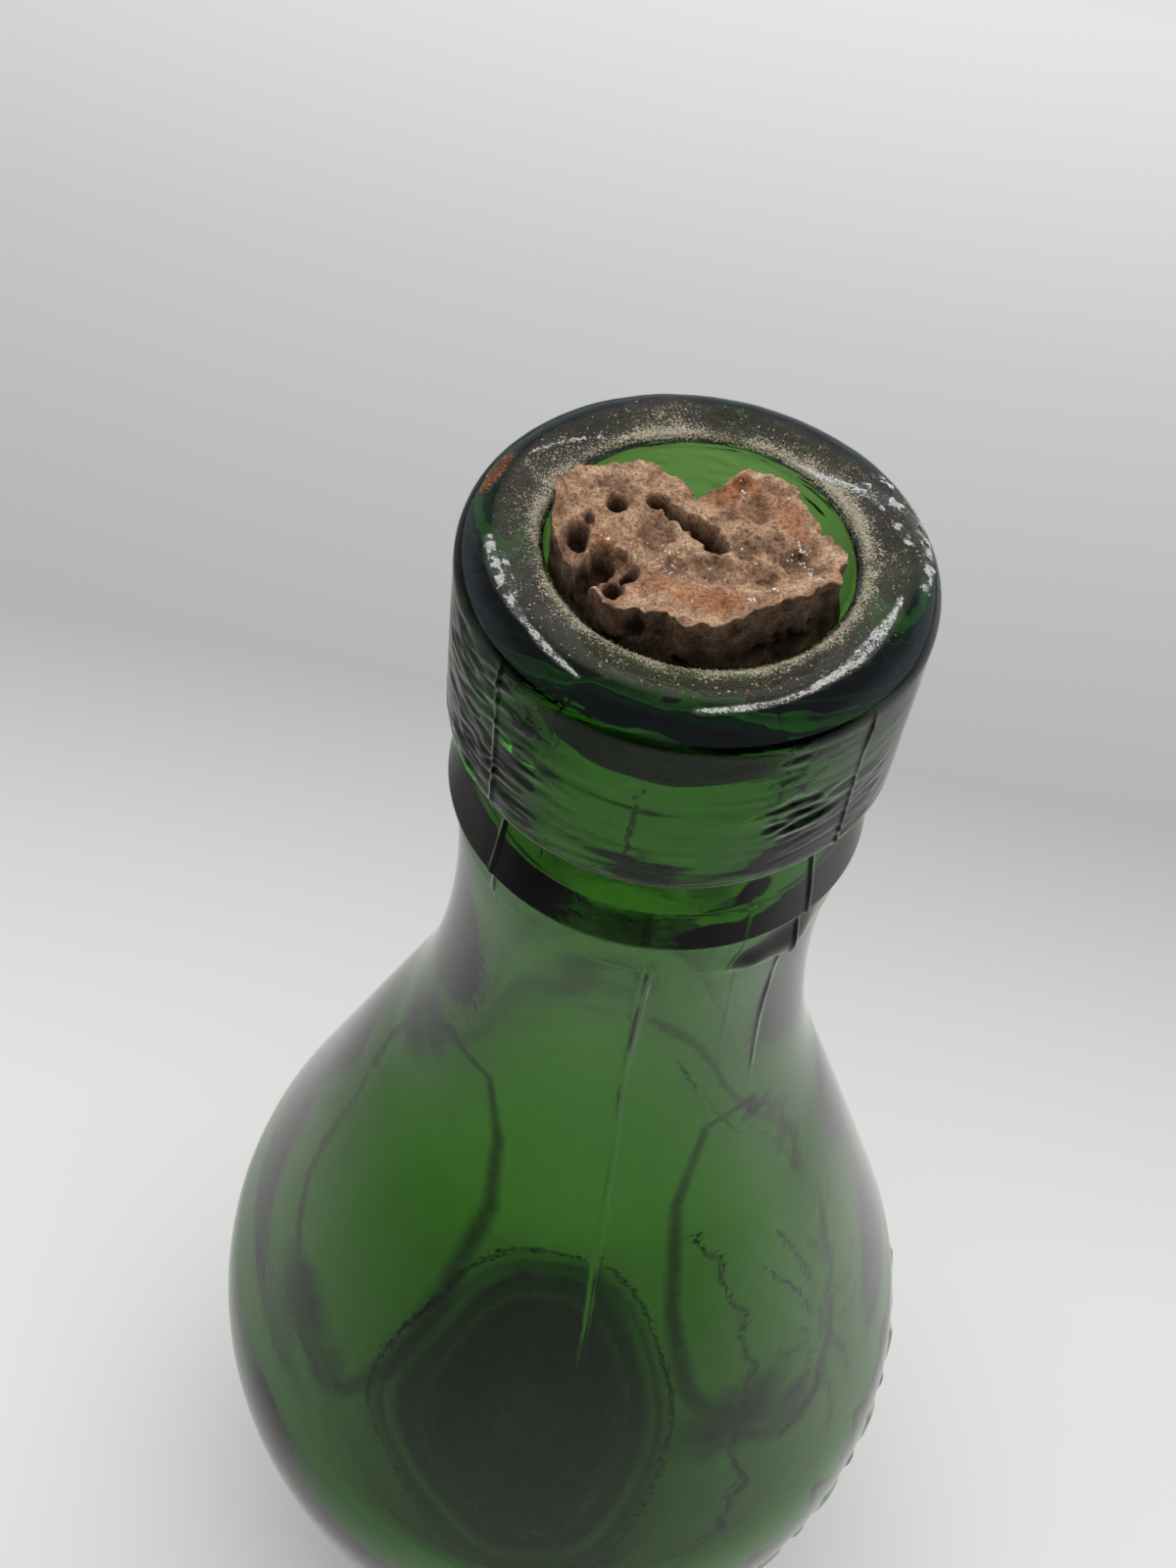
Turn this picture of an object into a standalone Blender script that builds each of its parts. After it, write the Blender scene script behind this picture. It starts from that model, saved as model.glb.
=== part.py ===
"""Embossed glass bottle with the broken stub of its cork.

Metres, +Z up. The origin is the middle of the bearing ring that the bottle stands on, and azimuths are
counted in degrees from +X towards +Y, so -Y is the bottle's front.
"""

import math

import bmesh
import bpy
from mathutils import Vector

# Whole bottle
bottle_height = 0.213
widest_radius = 0.04425
widest_height = 0.077
glass_columns = 40

# Base and lower body: the body is a club that narrows towards its foot
foot_lean = math.radians(13)
belly_round = 0.116
heel_round = 0.006
bearing_ring_width = 0.0075
push_up_height = 0.013
push_up_edge_round = 0.002

# Shoulder and neck
shoulder_round = 0.0429
neck_round = 0.101
neck_radius = 0.01495
neck_straight_length = 0.0057
most_round_share = 0.97

# Finish, from the neck up: a narrow collar, the flared ring and the tall banded lip that overhangs it
collar_height = 0.0039
collar_step = 0.00025
collar_edge_round = 0.00015
ring_height = 0.0078
ring_foot_stand = 0.00088
ring_root_inset = 0.0008
ring_root_round = 0.0003
ring_foot_round = 0.0003
lip_height = 0.0161
lip_base_radius = 0.01593
lip_base_round = 0.0008
lip_radius = 0.0155
lip_round = 0.0022
mouth_round = 0.0006
most_fillet_share = 0.45

# Inside: walls, and the straight bore that takes the cork
base_wall = 0.008
body_wall = 0.005
neck_wall = 0.00475
inner_heel_round = 0.004
bore_radius = 0.00993
bore_depth = 0.020
bore_flare_length = 0.004

# Mould seams: two up the body, and two short ones on the finish
seam_raise = 0.00025
seam_half_angle = math.radians(1.3)
body_seam_azimuths = [math.radians(-82), math.radians(98)]
body_seam_below_lip_top = 0.009
finish_seam_azimuths = [math.radians(-131), math.radians(-39)]

# Relief on the side of the body: a rosette between an arched and a straight row of lozenges and beads
relief_azimuth = math.radians(10)
rosette_below_widest = 0.021
relief_raise = 0.0006
relief_sink = 0.0012
relief_face_share = 0.6
row_gap = 0.0005
lozenge_width = 0.0064
lozenge_height = 0.0125
bead_radius = 0.0014
bead_sides = 6
upper_row_gap = 0.004
upper_row_drop = 0.010
upper_row_lozenges = 9
lower_row_gap = 0.0042
lower_row_lozenges = 7
rosette_petals = 8
petal_length = 0.0110
petal_width = 0.0066
petal_gap = 0.0012
boss_radius = 0.0034
boss_sides = 10
# Half widths along a petal from its root to its tip, as shares of its length and of its width
petal_shares = [(0.0, 0.10), (0.30, 0.36), (0.62, 0.50), (0.88, 0.30), (1.0, 0.0)]

# A run of glass that slopped over the collar's edge while the finish was tooled
run_azimuth = math.radians(-39)
run_width = 0.0050
run_height = 0.0046
run_sides = 8

# Cork stub: the seated foot is round, and the head is broken and eaten away at the back
cork_clearance = 0.00035
cork_seated_length = 0.0095
cork_ledge_depth = 0.0045
cork_head_rise = 0.0025
cork_foot_round = 0.0006
cork_roughness = 0.00012
cork_columns = 48
cork_wall_rows = 4
cork_top_rings = 8
cork_foot_rings = 2
# Radius of the head's edge every 15 degrees from +X, as shares of the bore's radius
cork_edge_shares = [
    0.89, 0.74, 0.69, 0.75, 0.69, 0.70, 0.42, 0.34, 0.51, 0.74, 0.79, 0.89,
    0.98, 0.97, 0.95, 0.92, 0.94, 0.86, 0.89, 0.88, 0.82, 0.83, 0.87, 0.90,
]  # fmt: skip
# Height of that edge every 45 degrees from +X, as shares of the head's rise
cork_rise_shares = [0.40, 0.45, 0.10, 0.45, 0.90, 0.45, 0.75, 1.0]
cork_middle_rise_share = 0.35
# Hollows in the head: place across and towards the back, width and depth, as shares of the cork's radius
cork_hollow_shares = [
    (-0.60, 0.04, 0.13, 0.26),
    (-0.30, 0.16, 0.12, 0.30),
    (-0.12, 0.04, 0.12, 0.34),
    (0.09, -0.11, 0.12, 0.30),
    (-0.53, -0.58, 0.24, 0.34),
    (-0.80, -0.27, 0.11, 0.22),
    (0.65, -0.16, 0.17, 0.14),
    (-0.33, -0.15, 0.13, 0.09),
    (0.23, -0.01, 0.12, 0.08),
    (0.45, 0.07, 0.12, 0.07),
    (0.07, -0.27, 0.13, 0.07),
    (0.43, -0.40, 0.12, 0.08),
]


def clear_scene():
    for obj in list(bpy.data.objects):
        bpy.data.objects.remove(obj, do_unlink=True)


def principled(name, colour, roughness, transmission=0.0, ior=1.5):
    material = bpy.data.materials.new(name)
    material.use_nodes = True
    surface = material.node_tree.nodes["Principled BSDF"]
    surface.inputs["Base Color"].default_value = (*colour, 1.0)
    surface.inputs["Roughness"].default_value = roughness
    surface.inputs["Metallic"].default_value = 0.0
    surface.inputs["Transmission Weight"].default_value = transmission
    surface.inputs["IOR"].default_value = ior
    return material


def make_object(name, bm, material=None):
    """One object from a bmesh, shaded smooth but for its real edges."""
    bmesh.ops.recalc_face_normals(bm, faces=bm.faces)
    mesh = bpy.data.meshes.new(name)
    bm.to_mesh(mesh)
    bm.free()
    mesh.shade_smooth()
    mesh.set_sharp_from_angle(angle=math.radians(35))
    if material:
        mesh.materials.append(material)
    obj = bpy.data.objects.new(name, mesh)
    bpy.context.scene.collection.objects.link(obj)
    return obj


def skin(bm, rings):
    """Faces between rings of equal count. A ring of one vertex is a pole."""
    for low, high in zip(rings, rings[1:]):
        count = max(len(low), len(high))
        for i in range(count):
            following = (i + 1) % count
            corners = [low[i % len(low)], low[following % len(low)]]
            corners += [high[following % len(high)], high[i % len(high)]]
            bm.faces.new(list(dict.fromkeys(corners)))


def arc(centre, radius, start, end, steps):
    """Points of a round stretch as (radius, height), with angles counted from the outward direction."""
    angles = [start + (end - start) * i / steps for i in range(steps + 1)]
    return [(centre[0] + radius * math.cos(a), centre[1] + radius * math.sin(a)) for a in angles]


def rounded(corners):
    """An outline from corners (radius, height, fillet, steps). A fillet is limited by its neighbours."""
    outline = []
    for i, (radius, height, fillet, steps) in enumerate(corners):
        here = Vector((radius, height))
        if not fillet:
            outline.append((radius, height))
            continue
        back = Vector(corners[i - 1][:2]) - here
        ahead = Vector(corners[i + 1][:2]) - here
        half = back.angle(ahead) / 2
        reach = min(fillet / math.tan(half), most_fillet_share * min(back.length, ahead.length))
        back.normalize()
        ahead.normalize()
        centre = here + (back + ahead).normalized() * reach / math.cos(half)
        first = here + back * reach - centre
        last = here + ahead * reach - centre
        start = math.atan2(first.y, first.x)
        turn = math.remainder(math.atan2(last.y, last.x) - start, math.tau)
        outline += arc(centre, first.length, start, start + turn, steps)
    return outline


def tangent_lean(low_centre, low_radius, high_centre, high_radius):
    """Lean from upright of the straight line that leaves a convex round and meets the concave one above."""
    across = high_centre[0] - low_centre[0]
    up = high_centre[1] - low_centre[1]
    reach = math.hypot(across, up)
    return math.atan2(up, across) - math.acos((low_radius + high_radius) / reach)


class BottleForm:
    """The rounds of the bottle's outline, worked out from the named sizes."""

    def __init__(self):
        self.lip_bottom = bottle_height - lip_height
        self.ring_bottom = self.lip_bottom - ring_height
        self.collar_bottom = self.ring_bottom - collar_height
        self.neck_round_top = self.collar_bottom - neck_straight_length
        self.neck_inner_radius = neck_radius - neck_wall

        # The shoulder's and the neck's rounds only get as large as the space between them lets them meet.
        rise = self.neck_round_top - widest_height
        step = widest_radius - neck_radius
        extra = max(0, neck_wall - body_wall)
        room = (rise**2 + step**2 - extra**2) / (2 * (step + extra))
        ease = min(1, most_round_share * room / (shoulder_round + neck_round))
        self.shoulder_round = shoulder_round * ease
        self.neck_round = neck_round * ease
        self.shoulder_centre = (widest_radius - self.shoulder_round, widest_height)
        self.neck_centre = (neck_radius + self.neck_round, self.neck_round_top)
        self.belly_centre = (widest_radius - belly_round, widest_height)

        # The heel's round touches the ground and the leaning wall of the foot.
        wall_top = widest_radius - belly_round * (1 - math.cos(foot_lean))
        wall_drop = widest_height - belly_round * math.sin(foot_lean)
        wall_drop -= heel_round * (1 - math.sin(foot_lean))
        heel_wall = wall_top - wall_drop * math.tan(foot_lean)
        self.heel_centre = (heel_wall - heel_round * math.cos(foot_lean), heel_round)

        # The push-up's dome runs into the bearing ring over a rounded edge.
        edge = self.heel_centre[0] - bearing_ring_width
        dome = (edge**2 + push_up_height**2 - 2 * push_up_edge_round * push_up_height) / (2 * push_up_height)
        self.dome_round = dome
        self.dome_centre = (0, push_up_height - dome)
        self.edge_centre = (edge, push_up_edge_round)
        self.dome_end = math.atan2(push_up_edge_round - self.dome_centre[1], edge)

    def base(self):
        """From the push-up's middle out to the bearing ring and round the heel."""
        quarter = math.pi / 2
        outline = arc(self.dome_centre, self.dome_round, quarter, self.dome_end, 6)
        outline += arc(self.edge_centre, push_up_edge_round, self.dome_end + math.pi, 3 * quarter, 2)[1:]
        outline += arc(self.heel_centre, heel_round, -quarter, -foot_lean, 4)
        return outline

    def outer_wall(self):
        """From the foot up over the belly and the shoulder to the neck."""
        lean = tangent_lean(self.shoulder_centre, self.shoulder_round, self.neck_centre, self.neck_round)
        outline = arc(self.belly_centre, belly_round, -foot_lean, 0, 5)
        outline += arc(self.shoulder_centre, self.shoulder_round, 0, lean, 5)[1:]
        outline += arc(self.neck_centre, self.neck_round, math.pi + lean, math.pi, 7)
        return outline

    def finish(self):
        """From the neck up over the collar, ring and lip, and down the bore."""
        collar = neck_radius + collar_step
        return rounded(
            [
                (neck_radius, self.collar_bottom, 0, 0),
                (collar, self.collar_bottom, collar_edge_round, 1),
                (collar, self.ring_bottom, ring_root_round, 2),
                (neck_radius + ring_foot_stand, self.ring_bottom, ring_foot_round, 3),
                (neck_radius - ring_root_inset, self.lip_bottom, ring_root_round, 2),
                (lip_base_radius, self.lip_bottom, lip_base_round, 3),
                (lip_radius, bottle_height, lip_round, 4),
                (bore_radius, bottle_height, mouth_round, 3),
                (bore_radius, bottle_height - bore_depth, 0, 0),
                (self.neck_inner_radius, bottle_height - bore_depth - bore_flare_length, 0, 0),
            ]
        )

    def inner_wall(self):
        """From the neck's inside down to the middle of the floor, over the push-up."""
        neck = self.neck_round + neck_wall
        shoulder = self.shoulder_round - body_wall
        belly = belly_round - body_wall
        floor = self.dome_round + base_wall
        lean = tangent_lean(self.shoulder_centre, shoulder, self.neck_centre, neck)
        outline = arc(self.neck_centre, neck, math.pi, math.pi + lean, 5)
        outline += arc(self.shoulder_centre, shoulder, lean, 0, 4)
        outline += arc(self.belly_centre, belly, 0, -foot_lean, 4)[1:]

        # The inner heel's round touches the wall and the dome of the floor.
        outward = Vector((math.cos(foot_lean), -math.sin(foot_lean)))
        upward = Vector((math.sin(foot_lean), math.cos(foot_lean)))
        start = outward * (outward.dot(Vector(outline[-1])) - inner_heel_round)
        start -= Vector(self.dome_centre)
        along = start.dot(upward)
        rise = math.sqrt(along**2 - start.length_squared + (floor + inner_heel_round) ** 2) - along
        centre = start + upward * rise
        end = math.atan2(centre.y, centre.x)
        centre += Vector(self.dome_centre)
        outline += arc(centre, inner_heel_round, -foot_lean, end - math.pi, 4)
        outline += arc(self.dome_centre, floor, end, math.pi / 2, 4)[1:]
        return outline


def radius_at(outline, height):
    """The outline's radius at a height. Where it steps, the larger one."""
    found = []
    for (low_radius, low), (high_radius, high) in zip(outline, outline[1:]):
        if low < high and low <= height <= high:
            found.append(low_radius + (high_radius - low_radius) * (height - low) / (high - low))
    return max(found)


def seam_columns():
    """Azimuth of each mesh column, with the heights between which a seam stands out there."""
    foot = heel_round
    top = bottle_height
    seams = [(a, foot, top - body_seam_below_lip_top) for a in body_seam_azimuths]
    seams += [(a, top - lip_height - ring_height, top - lip_round) for a in finish_seam_azimuths]
    step = math.tau / glass_columns
    columns = []
    for i in range(glass_columns):
        azimuth = i * step - math.pi
        distances = [abs(math.remainder(azimuth - seam[0], math.tau)) for seam in seams]
        if min(distances) > 2 * seam_half_angle:
            columns.append((azimuth, 0, 0))
    for azimuth, low, high in seams:
        turned = math.remainder(azimuth, math.tau)
        columns += [(turned - seam_half_angle, 0, 0), (turned, low, high), (turned + seam_half_angle, 0, 0)]
    return sorted(columns)


def glass_mesh(outer, inner):
    """The turned wall, closed at the middle of the base outside and inside."""
    bm = bmesh.new()
    columns = seam_columns()
    rings = []
    for i, (radius, height) in enumerate(outer + inner):
        if i in (0, len(outer + inner) - 1):
            rings.append([bm.verts.new((0, 0, height))])
            continue
        ring = []
        for azimuth, low, high in columns:
            raised = radius + (seam_raise if i < len(outer) and low < height < high else 0)
            ring.append(bm.verts.new((raised * math.cos(azimuth), raised * math.sin(azimuth), height)))
        rings.append(ring)
    skin(bm, rings)
    return bm


def polygon(width, height, sides):
    """An ellipse's outline with a corner at its top."""
    turns = [math.tau * i / sides + math.pi / 2 for i in range(sides)]
    return [(width / 2 * math.cos(a), height / 2 * math.sin(a)) for a in turns]


def petal():
    """A petal that points up, with its root above the rosette's middle."""
    root = boss_radius + petal_gap
    side = [(share * petal_width, root + along * petal_length) for along, share in petal_shares]
    return side + [(-across, up) for across, up in reversed(side[:-1])]


def add_stud(bm, outer, outline, azimuth, height, turn=0.0):
    """A raised shape with sloping sides: its foot lies inside the glass, and its face stands proud."""
    carrier = radius_at(outer, height)
    rows = []
    for scale, lift in ((1, -relief_sink), (relief_face_share, relief_raise)):
        middle = Vector((sum(p[0] for p in outline), sum(p[1] for p in outline))) / len(outline)
        row = []
        for point in outline:
            local = middle + (Vector(point) - middle) * scale
            across = local.x * math.cos(turn) - local.y * math.sin(turn)
            up = local.x * math.sin(turn) + local.y * math.cos(turn)
            radius = radius_at(outer, height + up) + lift
            angle = azimuth + across / carrier
            row.append(bm.verts.new((radius * math.cos(angle), radius * math.sin(angle), height + up)))
        rows.append(row)
    bm.faces.new(rows[0][::-1])
    bm.faces.new(rows[1])
    skin(bm, rows)


def add_row(bm, outer, height, drop, lozenges):
    """Lozenges with a bead between each two, along an arch that falls towards both ends."""
    places = 2 * lozenges - 1
    step = lozenge_width / 2 + bead_radius + row_gap
    reach = (lozenges - 1) * step
    for i in range(places):
        along = (i - (places - 1) / 2) * step
        share = along / reach
        azimuth = relief_azimuth + along / radius_at(outer, height)
        turn = math.atan(-2 * drop * share / reach)
        shape = polygon(2 * bead_radius, 2 * bead_radius, bead_sides)
        if i % 2 == 0:
            shape = polygon(lozenge_width, lozenge_height, 4)
        add_stud(bm, outer, shape, azimuth, height - drop * share**2, turn)


def add_rosette(bm, outer, height):
    """A boss with petals all round it."""
    add_stud(bm, outer, polygon(2 * boss_radius, 2 * boss_radius, boss_sides), relief_azimuth, height)
    for i in range(rosette_petals):
        add_stud(bm, outer, petal(), relief_azimuth, height, math.tau * i / rosette_petals)


def join_relief(bottle, name, add, *values):
    """Makes one group of raised shapes and joins it to the bottle."""
    bm = bmesh.new()
    add(bm, *values)
    bmesh.ops.triangulate(bm, faces=bm.faces)
    relief = make_object(name, bm)
    relief.hide_render = True
    relief.display_type = "WIRE"
    join = bottle.modifiers.new(name, "BOOLEAN")
    join.operation = "UNION"
    join.solver = "EXACT"
    join.object = relief


def bottle_glass():
    """The glass, one piece from its base to its lip, with the relief joined on."""
    form = BottleForm()
    outer = form.base() + form.outer_wall() + form.finish()
    inner = form.inner_wall()
    glass = principled("green_glass", (0.05, 0.22, 0.08), 0.03, transmission=1.0, ior=1.52)
    bottle = make_object("bottle_glass", glass_mesh(outer, inner), glass)

    side = outer[len(form.base()) - 1 :]
    rosette_height = widest_height - rosette_below_widest
    reach = boss_radius + petal_gap + petal_length + lozenge_height / 2
    upper = rosette_height + reach + upper_row_gap
    lower = rosette_height - reach - lower_row_gap
    join_relief(bottle, "rosette", add_rosette, side, rosette_height)
    join_relief(bottle, "upper_row", add_row, side, upper, upper_row_drop, upper_row_lozenges)
    join_relief(bottle, "lower_row", add_row, side, lower, 0, lower_row_lozenges)
    run = polygon(run_width, run_height, run_sides)
    join_relief(bottle, "glass_run", add_stud, side, run, run_azimuth, form.collar_bottom)
    return bottle


def eased(share):
    return share * share * (3 - 2 * share)


def around(shares, azimuth):
    """Value at an azimuth from shares spread evenly around the circle, eased from one to the next."""
    place = azimuth / math.tau * len(shares) % len(shares)
    first = int(place)
    blend = eased(place - first)
    return shares[first % len(shares)] * (1 - blend) + shares[(first + 1) % len(shares)] * blend


def cork_top(across, back, edge_share, azimuth):
    """Height of the cork's head above the lip, lower where a hollow is eaten into it."""
    radius = bore_radius - cork_clearance
    edge = around(cork_rise_shares, azimuth)
    share = cork_middle_rise_share + (edge - cork_middle_rise_share) * edge_share**2
    hollow = 0
    for place_across, place_back, width, depth in cork_hollow_shares:
        away = math.hypot(across / radius - place_across, back / radius - place_back) / width
        hollow = max(hollow, depth * radius * math.exp(-(away**2)))
    return cork_head_rise * share - hollow


def cork_stub():
    """The seated foot, a wall that leans in to the broken edge, and the pitted head."""
    bm = bmesh.new()
    radius = bore_radius - cork_clearance
    azimuths = [math.tau * i / cork_columns for i in range(cork_columns)]
    foot = bottle_height - cork_seated_length
    ledge = bottle_height - cork_ledge_depth

    def ring(radius_of, height_of):
        corners = []
        for a in azimuths:
            out = radius_of(a)
            corners.append(bm.verts.new((out * math.cos(a), out * math.sin(a), height_of(a))))
        return corners

    def rough(a, turns):
        return cork_roughness * math.sin(turns * a)

    def edge(a):
        return bore_radius * around(cork_edge_shares, a)

    def head(a, share):
        out = edge(a) * share
        return bottle_height + cork_top(out * math.cos(a), out * math.sin(a), share, a)

    inset = radius - cork_foot_round
    rings = [[bm.verts.new((0, 0, foot))]]
    for i in range(cork_foot_rings):
        share = (i + 1) / cork_foot_rings
        rings.append(ring(lambda a, s=share: inset * s, lambda a, s=share: foot + rough(a, 5 + 4 * s)))
    rings.append(ring(lambda a: radius, lambda a: foot + cork_foot_round))
    for i in range(cork_wall_rows):
        share = i / cork_wall_rows
        rings.append(
            ring(
                lambda a, s=share: radius + (edge(a) - radius) * eased(s),
                lambda a, s=share: ledge + (head(a, 1) - ledge) * s,
            )
        )
    for i in range(cork_top_rings):
        share = 1 - i / cork_top_rings
        rings.append(ring(lambda a, s=share: edge(a) * s, lambda a, s=share: head(a, s)))
    rings.append([bm.verts.new((0, 0, bottle_height + cork_top(0, 0, 0, 0)))])
    skin(bm, rings)
    cork = principled("old_cork", (0.30, 0.17, 0.09), 0.9)
    stub = make_object("cork_stub", bm, cork)
    return stub


clear_scene()
bottle_glass()
cork_stub()
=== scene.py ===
"""The looks of the embossed glass bottle: its finished glass, the dirt on its rim and its old cork."""

import math

import bpy
import numpy as np
from mathutils import Matrix, Vector


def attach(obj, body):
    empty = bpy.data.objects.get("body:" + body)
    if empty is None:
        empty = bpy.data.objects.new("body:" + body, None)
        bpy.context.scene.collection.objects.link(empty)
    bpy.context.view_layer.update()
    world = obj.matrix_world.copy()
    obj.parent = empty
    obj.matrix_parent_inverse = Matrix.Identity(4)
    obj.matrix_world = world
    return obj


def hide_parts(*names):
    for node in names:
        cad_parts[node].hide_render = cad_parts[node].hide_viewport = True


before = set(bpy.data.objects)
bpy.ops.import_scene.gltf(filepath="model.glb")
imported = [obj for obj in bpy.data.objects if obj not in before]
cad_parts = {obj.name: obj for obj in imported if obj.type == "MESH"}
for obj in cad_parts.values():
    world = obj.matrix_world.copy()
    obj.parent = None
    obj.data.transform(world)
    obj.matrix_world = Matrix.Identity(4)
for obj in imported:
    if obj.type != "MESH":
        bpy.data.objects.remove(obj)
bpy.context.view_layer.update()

mm = 0.001

# Camera: it stood close above the lip, in front of the bottle
image_height_px = 1600
focal_px = 1500
sensor = 36
camera_back = 67.82 * mm
camera_above_lip = 63.99 * mm
camera_pan = math.radians(-4.31)
camera_tilt = math.radians(53.32)
camera_roll = math.radians(7.64)
camera_near = 4 * mm
camera_far = 10

# Fineness of the meshes
finish_spacing = 0.22 * mm
bore_spacing = 0.7 * mm
relief_spacing = 0.9 * mm
plain_spacing = 1.4 * mm
crust_spacing = 0.14 * mm
finish_depth = 32 * mm
relief_bottom = 20 * mm
relief_top = 100 * mm
closer_columns = (-57.5, 54.5)
film_columns = np.radians(np.arange(-180, 180, 0.5))

# Whole bottle, as in the solids
bottle_height = 213 * mm
widest_radius = 44.25 * mm
widest_height = 77 * mm
foot_lean = math.radians(13)
belly_round = 116 * mm
heel_round = 6 * mm
bearing_ring_width = 7.5 * mm
push_up_height = 13 * mm
push_up_edge_round = 2 * mm
shoulder_round = 42.9 * mm
neck_round = 101 * mm
neck_radius = 14.95 * mm
neck_straight_length = 5.7 * mm

# Finish
collar_height = 3.9 * mm
collar_step = 0.25 * mm
collar_edge_round = 0.15 * mm
ring_height = 7.8 * mm
ring_foot_stand = 0.88 * mm
ring_root_inset = 0.8 * mm
ring_root_round = 0.3 * mm
ring_foot_round = 0.3 * mm
lip_height = 16.1 * mm
collar_foot_depth = lip_height + ring_height + collar_height
lip_base_radius = 15.93 * mm
lip_base_round = 0.8 * mm
lip_radius = 15.5 * mm
lip_round = 2.2 * mm
mouth_round = 0.6 * mm

# Inside
base_wall = 8 * mm
body_wall = 5 * mm
neck_wall = 4.75 * mm
inner_heel_round = 4 * mm
bore_radius = 9.93 * mm
bore_depth = 20 * mm
bore_flare_length = 4 * mm

# Mould seams: azimuth in degrees; in mm how far each stands out, its wander and half width, and the depths
# below the top where it starts, is full, begins to fade and ends; and a seed
seams = [
    (-82, 0.22, 0.3, 0.28, 26, 29, 205, 207, 11),
    (98, 0.22, 0.3, 0.28, 26, 29, 205, 207, 11),
    (-131, 0.176, 0.25, 0.2, 1.2, 3, 22.9, 29.9, 15),
    (-39, 0.176, 0.25, 0.2, 1.2, 3, 42.9, 49.9, 15),
]
seams_low_share = 0.12
seams_low_below = 120 * mm
seams_full_above = 145 * mm

# Waves of the blown glass, in mm: width, height, how far they stand on the body and on the finish, and a seed
finish_wave = (6, 6, 0, 0.05, 8)
outer_waves = [(24, 24, 0.14, 0.021, 3), (7, 30, 0.03, 0, 5), finish_wave]
inner_waves = [(26, 26, 0.48, 0.08, 41), (9, 45, 0.13, 0.03, 43)]

# Marks of the tools on the finish: azimuth and half width in degrees, and share
chatter_places = [(-143, 17, 1), (-56, 5.5, 1), (70, 50, 0.5)]
low_left_chatter = [(-120, 8, 1)]
low_right_chatter = [(-44, 13, 1)]
lip_edge_drifts = [(-38, 32, 0.7), (-158, 25, 0.3)]
chatter_stand = 0.15 * mm
turning_line_stand = 0.012 * mm
bore_wrinkle_stand = 0.06 * mm
worn_top_stand = 0.03 * mm
worn_top_sink = 0.4 * mm

# Run of glass at the collar, in mm: place sideways and above its edge, half width, half height, and share
glass_run = [(0, 0.6, 2.0, 1.5, 1), (-3.4, 0.3, 1.7, 1.0, 0.6)]
glass_run_azimuth = math.radians(-39)
glass_run_stand = 0.6 * mm

# Relief
relief_azimuth = math.radians(10)
relief_raise = 0.38 * mm
rosette_below_widest = 21 * mm
row_gap = 0.5 * mm
lozenge_width = 6.4 * mm
lozenge_height = 12.5 * mm
bead_radius = 1.4 * mm
upper_row_gap = 4 * mm
upper_row_drop = 10 * mm
upper_row_lozenges = 9
lower_row_gap = 4.2 * mm
lower_row_lozenges = 7
rosette_petals = 8
petal_length = 11 * mm
petal_width = 6.6 * mm
petal_gap = 1.2 * mm
boss_radius = 3.4 * mm

# Cork
cork_clearance = 0.35 * mm
cork_seated_length = 9.5 * mm
cork_ledge_depth = 4.5 * mm
cork_head_rise = 2.5 * mm
cork_foot_round = 0.6 * mm
cork_notch = [(105, 28, 1)]
cork_notch_depth = 3.4 * mm
cork_edge_break = 0.32 * mm
cork_wall_hollow = 0.7 * mm
cork_head_rings = 130
cork_edge_shares = [
    0.89, 0.74, 0.69, 0.75, 0.69, 0.70, 0.42, 0.34, 0.51, 0.74, 0.79, 0.89,
    0.98, 0.97, 0.95, 0.92, 0.94, 0.86, 0.89, 0.88, 0.82, 0.83, 0.87, 0.90,
]  # fmt: skip
cork_rise_shares = [0.40, 0.45, 0.10, 0.45, 0.90, 0.45, 0.75, 1.0]
cork_middle_rise_share = 0.35
# Steep-walled pits in the head: place across and back, half width, half length, turn in degrees, and depth
cork_pits = [
    (-5.7, 0.5, 0.55, 0.72, 0, 1.6),
    (-3.2, 1.7, 0.60, 0.80, 55, 1.3),
    (-2.1, 1.1, 0.55, 0.90, 60, 1.7),
    (-1.0, 0.4, 0.58, 0.95, 50, 2.0),
    (0.1, -0.4, 0.70, 1.00, 50, 2.2),
    (0.9, -1.0, 0.75, 0.80, 40, 2.1),
    (-7.5, -2.9, 0.60, 0.85, 10, 1.9),
    (-7.1, -1.4, 0.32, 0.40, 0, 0.7),
    (-5.8, -4.4, 0.80, 1.05, 20, 2.1),
    (-6.7, -5.3, 0.60, 0.80, 0, 1.8),
    (-4.8, -6.3, 0.70, 1.10, 0, 2.2),
    (-4.0, -4.9, 0.50, 0.60, 0, 1.5),
    (-4.8, -3.5, 0.42, 0.35, 0, 0.8),
    (-7.2, -7.5, 1.15, 1.20, -40, 2.8),
    (-6.4, -5.9, 0.80, 0.90, -20, 2.2),
    (5.9, -0.6, 0.36, 0.28, 0, 0.7),
    (5.6, -2.5, 0.42, 0.34, 0, 0.8),
    (7.1, -2.1, 0.32, 0.28, 0, 0.6),
    (6.5, -1.4, 0.36, 0.26, 0, 0.6),
    (4.1, -3.9, 0.55, 0.40, 0, 0.7),
]
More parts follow.
